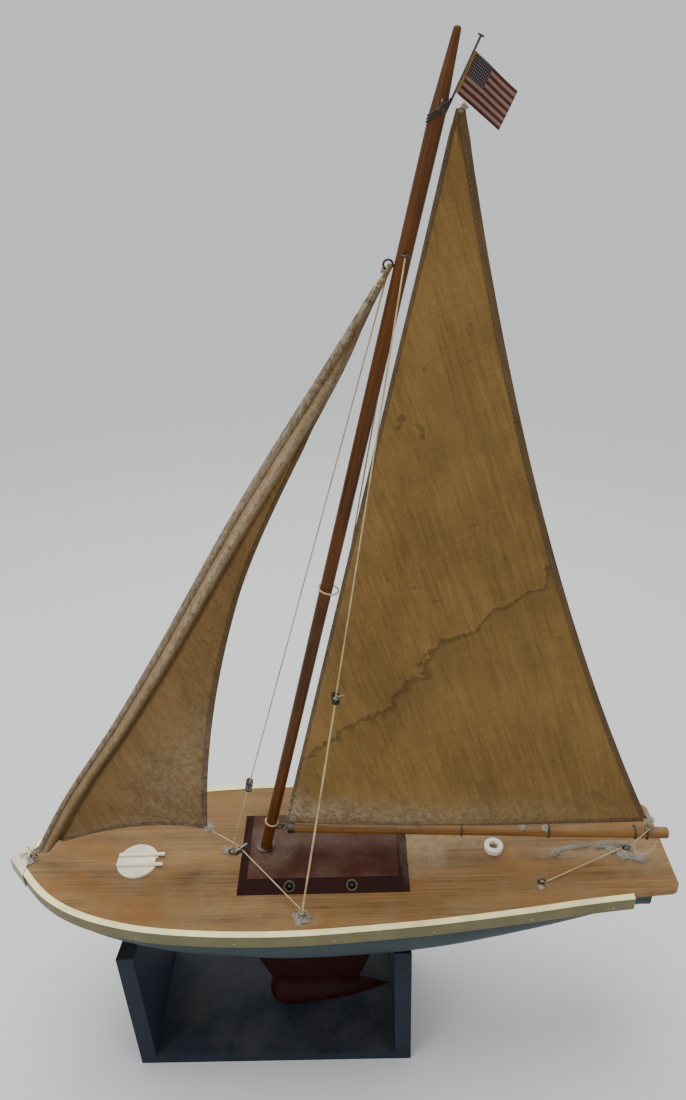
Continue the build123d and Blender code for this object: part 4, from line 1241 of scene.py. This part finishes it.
# ------------------------------------------------------------------ rigging
@dataclass
class Rigging:
    """Cords that cross a joint, knots, lashings and loose ends."""

    cord_radius: float = 0.5 * MM

    def stretch(
        self, name: str, node: str, points: list[Vector], start_body: str, end_body: str
    ) -> None:
        """Cord from one body to another, in place of its CAD tube.

        Args:
            name: the piece's name.
            node: the CAD tube it stands for.
            points: its line, from the first body to the second.
            start_body: the body its first end is tied to.
            end_body: the body its last end is tied to.
        """
        made = line(name, points, self.cord_radius, Look.CORD, "")
        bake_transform(made)
        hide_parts(node)

    def run_of(self, node: str, direction: Vector, count: int = 5) -> list[Vector]:
        """Points along a straight CAD tube, from its low end to its high end in a direction."""
        end = extreme(node, direction)
        start = extreme(node, -direction)
        return [start.lerp(end, step / (count - 1)) for step in range(count)]

    def sheets(self) -> None:
        """Jib sheet to its bowsie, and mainsheet up to the boom."""
        up_line = self.run_of("jib_sheet_upper", Vector((0.6, 0, 0.8)))
        self.stretch("jib_sheet_fore_part", "jib_sheet_upper", up_line, "hull", "jib")
        up_line = self.run_of("mainsheet_upper", Vector((0, 0.2, 1)))
        self.stretch("mainsheet_rise", "mainsheet_upper", up_line, "hull", "boom")

    def shroud_tails(self) -> None:
        """Doubled part of each shroud, from its chainplate to its bowsie."""
        for side in ("port", "starboard"):
            node = f"shroud_tail_{side}"
            low = extreme(node, -UP)
            high = extreme(node, UP) - UP * 2.0 * MM
            points = [low.lerp(high, step / 5) for step in range(6)]
            self.stretch(f"shroud_{side}_double", node, points, "hull", f"{side}_bowsie")
            seed = 11 if side == "port" else 12
            knot(
                f"shroud_{side}_knot", high + UP * 1.0 * MM, 2.0 * MM, seed, f"{side}_bowsie",
                tails=((-2, 4, 5), (-5, 1, 3))
            )

    def ties(self) -> None:
        """Knots at the eyes, the clews and the spars."""
        bow = middle("bow_eye") + UP * 5 * MM
        clew = extreme("jib_sheet_upper", Vector((0.6, 0, 0.8)))
        self.tie(
            "jib_tack_knot", bow, (-1, 0.5, 3.5), 2.8, 21, "hull",
            ((6, 4, 4), (-5, 6, -2), (7, -3, 3))
        )
        self.tie("jib_clew_knot", clew, (0, 0, -0.5), 2.6, 22, "jib", ((-6, 5, -1), (-7, 1, 4)))
        sheet = middle("jib_sheet_bowsie")
        self.tie("jib_sheet_knot", sheet, (2, 1, 2.5), 2.4, 23, "sheet_bowsie", ((6, 5, -1),))
        middle_x = (CHAIN_LOW[0] + CHAIN_HIGH[0]) / 2
        for name, side, seed in (("port", 1, 24), ("starboard", -1, 25)):
            plate = Vector((middle_x, (CHAIN_HIGH[1] - 0.7 * MM) * side, CHAINPLATE_KNOT_HEIGHT))
            tails = ((-6, 3 * side, -4), (5, 4 * side, -3))
            self.tie(f"chainplate_{name}_knot", plate, (0, 0, 0), 3.0, seed, "hull", tails)
        self.tie("stay_foot_knot", extreme("inner_stay", -UP), (0, 0, 0), 1.8, 26, "hull")
        self.tie(
            "stay_bowsie_knot", middle("stay_bowsie"), (0, 0, 1.8), 2.1, 27, "stay_bowsie",
            look=Look.DARK_THREAD
        )
        self.tie(
            "hound_knot", extreme("inner_stay", UP), (2, 1.5, 1.0), 3.0, 28, "hull", ((3, 5, -6),)
        )
        self.tie(
            "masthead_knot", middle("masthead_eye"), (0, 1.0, -2.5), 2.6, 29, "hull",
            look=Look.DARK_THREAD
        )
        self.masthead_turns()
        for node, seed in (("aft_sheet_eye", 31), ("fore_sheet_eye", 32)):
            self.tie(f"{node}_knot", middle(node), (0, 0, 6), 2.2, seed, "hull", ((-6, 4, -4),))

    def tie(
        self, name: str, eye: Vector, off: tuple, size: float, seed: int, body: str,
        tails: tuple = (), look: Look = Look.KNOT
    ) -> None:
        """Knot beside an eye.

        Args:
            name: the piece's name.
            eye: what it is tied to.
            off: its middle, in millimetres from the eye.
            size: its radius in millimetres.
            seed: chooses its shape.
            body: the body it rides on.
            tails: where each loose end goes, in millimetres from its middle.
            look: its finish.
        """
        knot(name, eye + mm(*off), size * MM, seed, body, look, tails=tails)

    def masthead_turns(self) -> None:
        """Dark thread wound slantwise round the mast head, and the sail's head knot."""
        lean = Vector(JOINTS["boom_swing"]["axis"]).normalized()
        tip = centred(extreme("mast", lean))
        aft_side = lean.cross(PORT).normalized()
        if aft_side.x > 0:
            aft_side = -aft_side
        axis_point = tip + lean * (extreme("masthead_eye", lean) - tip).dot(lean)
        radius = MAST_HEAD_RADIUS + DARK_THREAD_RADIUS
        points = []
        for step in range(40):
            angle = 2 * math.pi * step / 13
            side = aft_side * math.cos(angle) + PORT * math.sin(angle)
            slant = -(1 - math.cos(angle)) * 5 * MM - step * 0.12 * MM
            points.append(axis_point + side * radius + lean * (slant + 1 * MM))
        line("masthead_turns", points, DARK_THREAD_RADIUS, Look.DARK_THREAD, "hull")
        head = extreme("mainsail", UP)
        self.tie("sail_head_knot", head, (2.5, 0.5, -1.0), 1.8, 43, "boom", ((-4, 3, 1),))
        lint("sail_head_lint", head + mm(1, 1, 0), 2.6 * MM, 61, "boom", flat=1.0)

    def jib_head(self) -> None:
        """Gathered cloth and cord between the jib's head and the hound."""
        head = centred(extreme("jib", UP))
        ring = middle("stay_hound_eye")
        way = ring - head
        points = [head - way * 0.8, head - way * 0.2 + PORT * 0.8 * MM, head + way * 0.5, ring]
        line("jib_head_gather", points, 1.7 * MM, Look.JIB_SAIL, "jib")
        for number in range(2):
            share = 0.05 + 0.27 * number
            knot(f"jib_head_turn_{number + 1}", head + way * share, 2.2 * MM, 70 + number, "jib")
        lint("jib_head_lint", head - way * 0.1, 3 * MM, 62, "jib", flat=1.0)

    def boom_ties(self) -> None:
        """Clew knot on the boom, and a loose end that curls below it."""
        low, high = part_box("mainsail")
        clew = Vector((low[0], high[1] - 0.5 * MM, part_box("boom")[1][2] + 3.5 * MM))
        self.tie("clew_knot", clew, (-0.5, 0.5, -1.5), 3.4, 41, "boom", ((-5, 3, 2), (4, 3, -5)))
        curl = (
            (0, 3, -3), (9, 8, -6), (14, 10, -13), (10, 11, -21), (2, 11, -23), (-6, 9, -18),
            (-7, 8, -10)
        )
        line("clew_loose_end", [clew + mm(*spot) for spot in curl], 0.4 * MM, Look.CORD, "boom")

    def fluff(self) -> None:
        """Lint caught on the knots, along the deck under the boom and by the eyes."""
        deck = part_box("deck")[1][2]
        plates, bow, aft_eye = middle("chainplate_eyes"), middle("bow_eye"), middle("aft_sheet_eye")
        spots = [
            (Vector((plates.x, CHAIN_HIGH[1], deck)), 11),
            (Vector((plates.x, CHAIN_LOW[1], deck)), 9),
            (middle("stay_eye") + mm(6, -4, 0), 7),
            (bow + mm(3, 2, 1), 9),
            (bow + mm(10, -2, 1), 7),
            (aft_eye + mm(3, 4, 1), 11),
            (aft_eye + mm(-9, 8, 0), 9),
            (aft_eye + mm(12, -3, 0), 9),
            (middle("fore_sheet_eye") + mm(1, 3, 0), 4),
        ]
        for number, (centre, size) in enumerate(spots):
            centre.z = deck
            lint(f"lint_{number + 1}", centre, size * MM, 150 + number, "hull", flat=0.3)
        lint(
            "jib_clew_lint", extreme("jib_sheet_upper", Vector((0.6, 0, 0.8))), 6 * MM, 63, "jib",
            flat=0.9
        )
        lint("clew_lint", extreme("mainsail", Vector((-1, 0, -0.2))), 7 * MM, 64, "boom", flat=0.8)
        rolls = (
            ("aft", ((-6, -2, 0), (8, -7, 0), (26, -5, 0)), 3.6, 171),
            ("fore", ((30, -6, 0), (52, -4, 0), (63, 0, 0), (65, 6, 0)), 2.6, 172),
        )
        for name, steps, size, seed in rolls:
            lint_roll(
                f"lint_roll_{name}", [aft_eye + mm(*step) for step in steps], size * MM, seed, deck
            )
        low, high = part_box("boom")
        for number, share in enumerate((0.36, 0.62, 0.68)):
            spot = Vector(
                (
                    high[0] + (low[0] - high[0]) * share, low[1] + (high[1] - low[1]) * share,
                    high[2] - 1 * MM
                )
            )
            lint(f"boom_lint_{number + 1}", spot, 4.5 * MM, 65 + number, "boom", flat=0.8)

    def build(self) -> None:
        """Makes all of it."""
        self.sheets()
        self.shroud_tails()
        self.ties()
        self.jib_head()
        self.boom_ties()
        self.fluff()


# ------------------------------------------------------------------ cabin details
@dataclass
class Portholes:
    """Blackened backs inside the cabin's portholes."""

    radius: float = 3.2 * MM
    depth: float = 2.0 * MM
    outward: tuple = (9.5, 9.0)
    thickness: float = 0.3 * MM

    def build(self) -> None:
        """One disc behind each rim."""
        vertices = spots_of("porthole_rims")
        box_middle = middle("porthole_rims")
        bm = bmesh.new()
        for side in (1, -1):
            for end in (1, -1):
                ring = [
                    spot for spot in vertices if spot.y * side > 0 and (
                        spot.x - box_middle.x
                    ) * end > 0
                ]
                centre = sum(ring, Vector()) / len(ring)
                normal = Vector((0, side * self.outward[0], self.outward[1])).normalized()
                turn = normal.to_track_quat("Z", "Y").to_matrix().to_4x4()
                spot = Matrix.Translation(centre - normal * self.depth) @ turn
                bmesh.ops.create_circle(
                    bm, cap_ends=True, segments=28, radius=self.radius, matrix=spot
                )
        backs = piece("porthole_backs", bm, Look.BLACK, "hull")
        thicken(backs, self.thickness, offset=-1.0)


# ------------------------------------------------------------------ studio
@dataclass
class Studio:
    """Pale floor, soft lights and the camera."""

    camera_place: tuple = (-0.0908, 0.513, 0.811)
    camera_right: tuple = (-0.99946, 0.0, -0.03285)
    camera_up: tuple = (-0.02873, -0.48486, 0.87413)
    lens: float = 27.03
    floor_radius: float = 2.2
    floor_grey: tuple = (0.70, 0.70, 0.70, 1)
    sky: tuple = (0.80, 0.81, 0.83, 1)
    sky_strength: float = 0.9
    aim: tuple = (0, 0, 0.35)
    lights: tuple = (
        ("overhead", (0.1, -0.3, 2.3), 1.6, 42),
        ("key", (1.3, 1.3, 1.5), 1.0, 10),
        ("fill", (-1.4, 1.0, 1.0), 1.2, 4),
    )

    def floor(self) -> None:
        """Large round floor that meets the pale backdrop at the horizon."""
        bm = bmesh.new()
        bmesh.ops.create_circle(bm, cap_ends=True, segments=96, radius=self.floor_radius)
        mesh = bpy.data.meshes.new("floor")
        bm.to_mesh(mesh)
        bm.free()
        made = bpy.data.objects.new("floor", mesh)
        bpy.context.scene.collection.objects.link(made)
        material = bpy.data.materials.new("floor_paper")
        material.use_nodes = True
        shader = material.node_tree.nodes["Principled BSDF"]
        shader.inputs["Base Color"].default_value = self.floor_grey
        shader.inputs["Roughness"].default_value = 0.85
        g = Graph(material.node_tree)
        reach = g.node("VectorMath", operation="LENGTH")
        g.feed(reach.inputs[0], g.node("TexCoord").outputs["Object"])
        g.feed(shader.inputs["Alpha"], g.fit(reach.outputs["Value"], self.floor_radius, 0.9))
        mesh.materials.append(material)

    def light(self, name: str, place: tuple, size: float, power: float) -> None:
        """Square soft light aimed at the middle of the boat."""
        lamp = bpy.data.lights.new(name, "AREA")
        lamp.size = size
        lamp.energy = power
        made = bpy.data.objects.new(name, lamp)
        made.location = place
        aim = Vector(self.aim) - Vector(place)
        made.rotation_euler = aim.to_track_quat("-Z", "Y").to_euler()
        bpy.context.scene.collection.objects.link(made)

    def camera(self) -> None:
        """Camera above the port side, turned down at the deck."""
        lens = bpy.data.cameras.new("camera")
        lens.lens = self.lens
        lens.clip_start = 0.01
        made = bpy.data.objects.new("camera", lens)
        right, up = Vector(self.camera_right), Vector(self.camera_up)
        turn = Matrix((right, up, right.cross(up))).transposed().to_4x4()
        made.matrix_world = Matrix.Translation(self.camera_place) @ turn
        bpy.context.scene.collection.objects.link(made)
        bpy.context.scene.camera = made

    def build(self) -> None:
        """Sets up all of it."""
        world = bpy.data.worlds.new("studio")
        world.use_nodes = True
        back = world.node_tree.nodes["Background"]
        back.inputs["Color"].default_value = self.sky
        back.inputs["Strength"].default_value = self.sky_strength
        bpy.context.scene.world = world
        self.floor()
        for name, place, size, power in self.lights:
            self.light(name, place, size, power)
        self.camera()


def dress() -> None:
    """Gives every CAD node that stays its own finish."""
    for look, nodes in NODE_LOOKS.items():
        for name in nodes:
            for held in frame["nodes"][name].material_slots:
                held.material = look.material()


def main() -> None:
    """Builds the yacht's looks around the frame."""
    logging.basicConfig(level=logging.INFO, format="%(name)s: %(message)s")
    Studio().build()
    dress()
    Mainsail("mainsail", "mainsail", "boom", leech_hollow=17 * MM, foot_arch=0.0, belly=7 * MM,
             head_width=5 * MM, seed=3).build()
    Jib("jib", "jib", "jib", leech_hollow=30 * MM, foot_arch=22 * MM, belly=13 * MM,
        head_width=3 * MM, seed=8, look=Look.JIB_SAIL, luff_hem_width=7 * MM, columns=84).build()
    Flag().build()
    Rigging().build()
    Portholes().build()


if __name__ == "__main__":
    main()
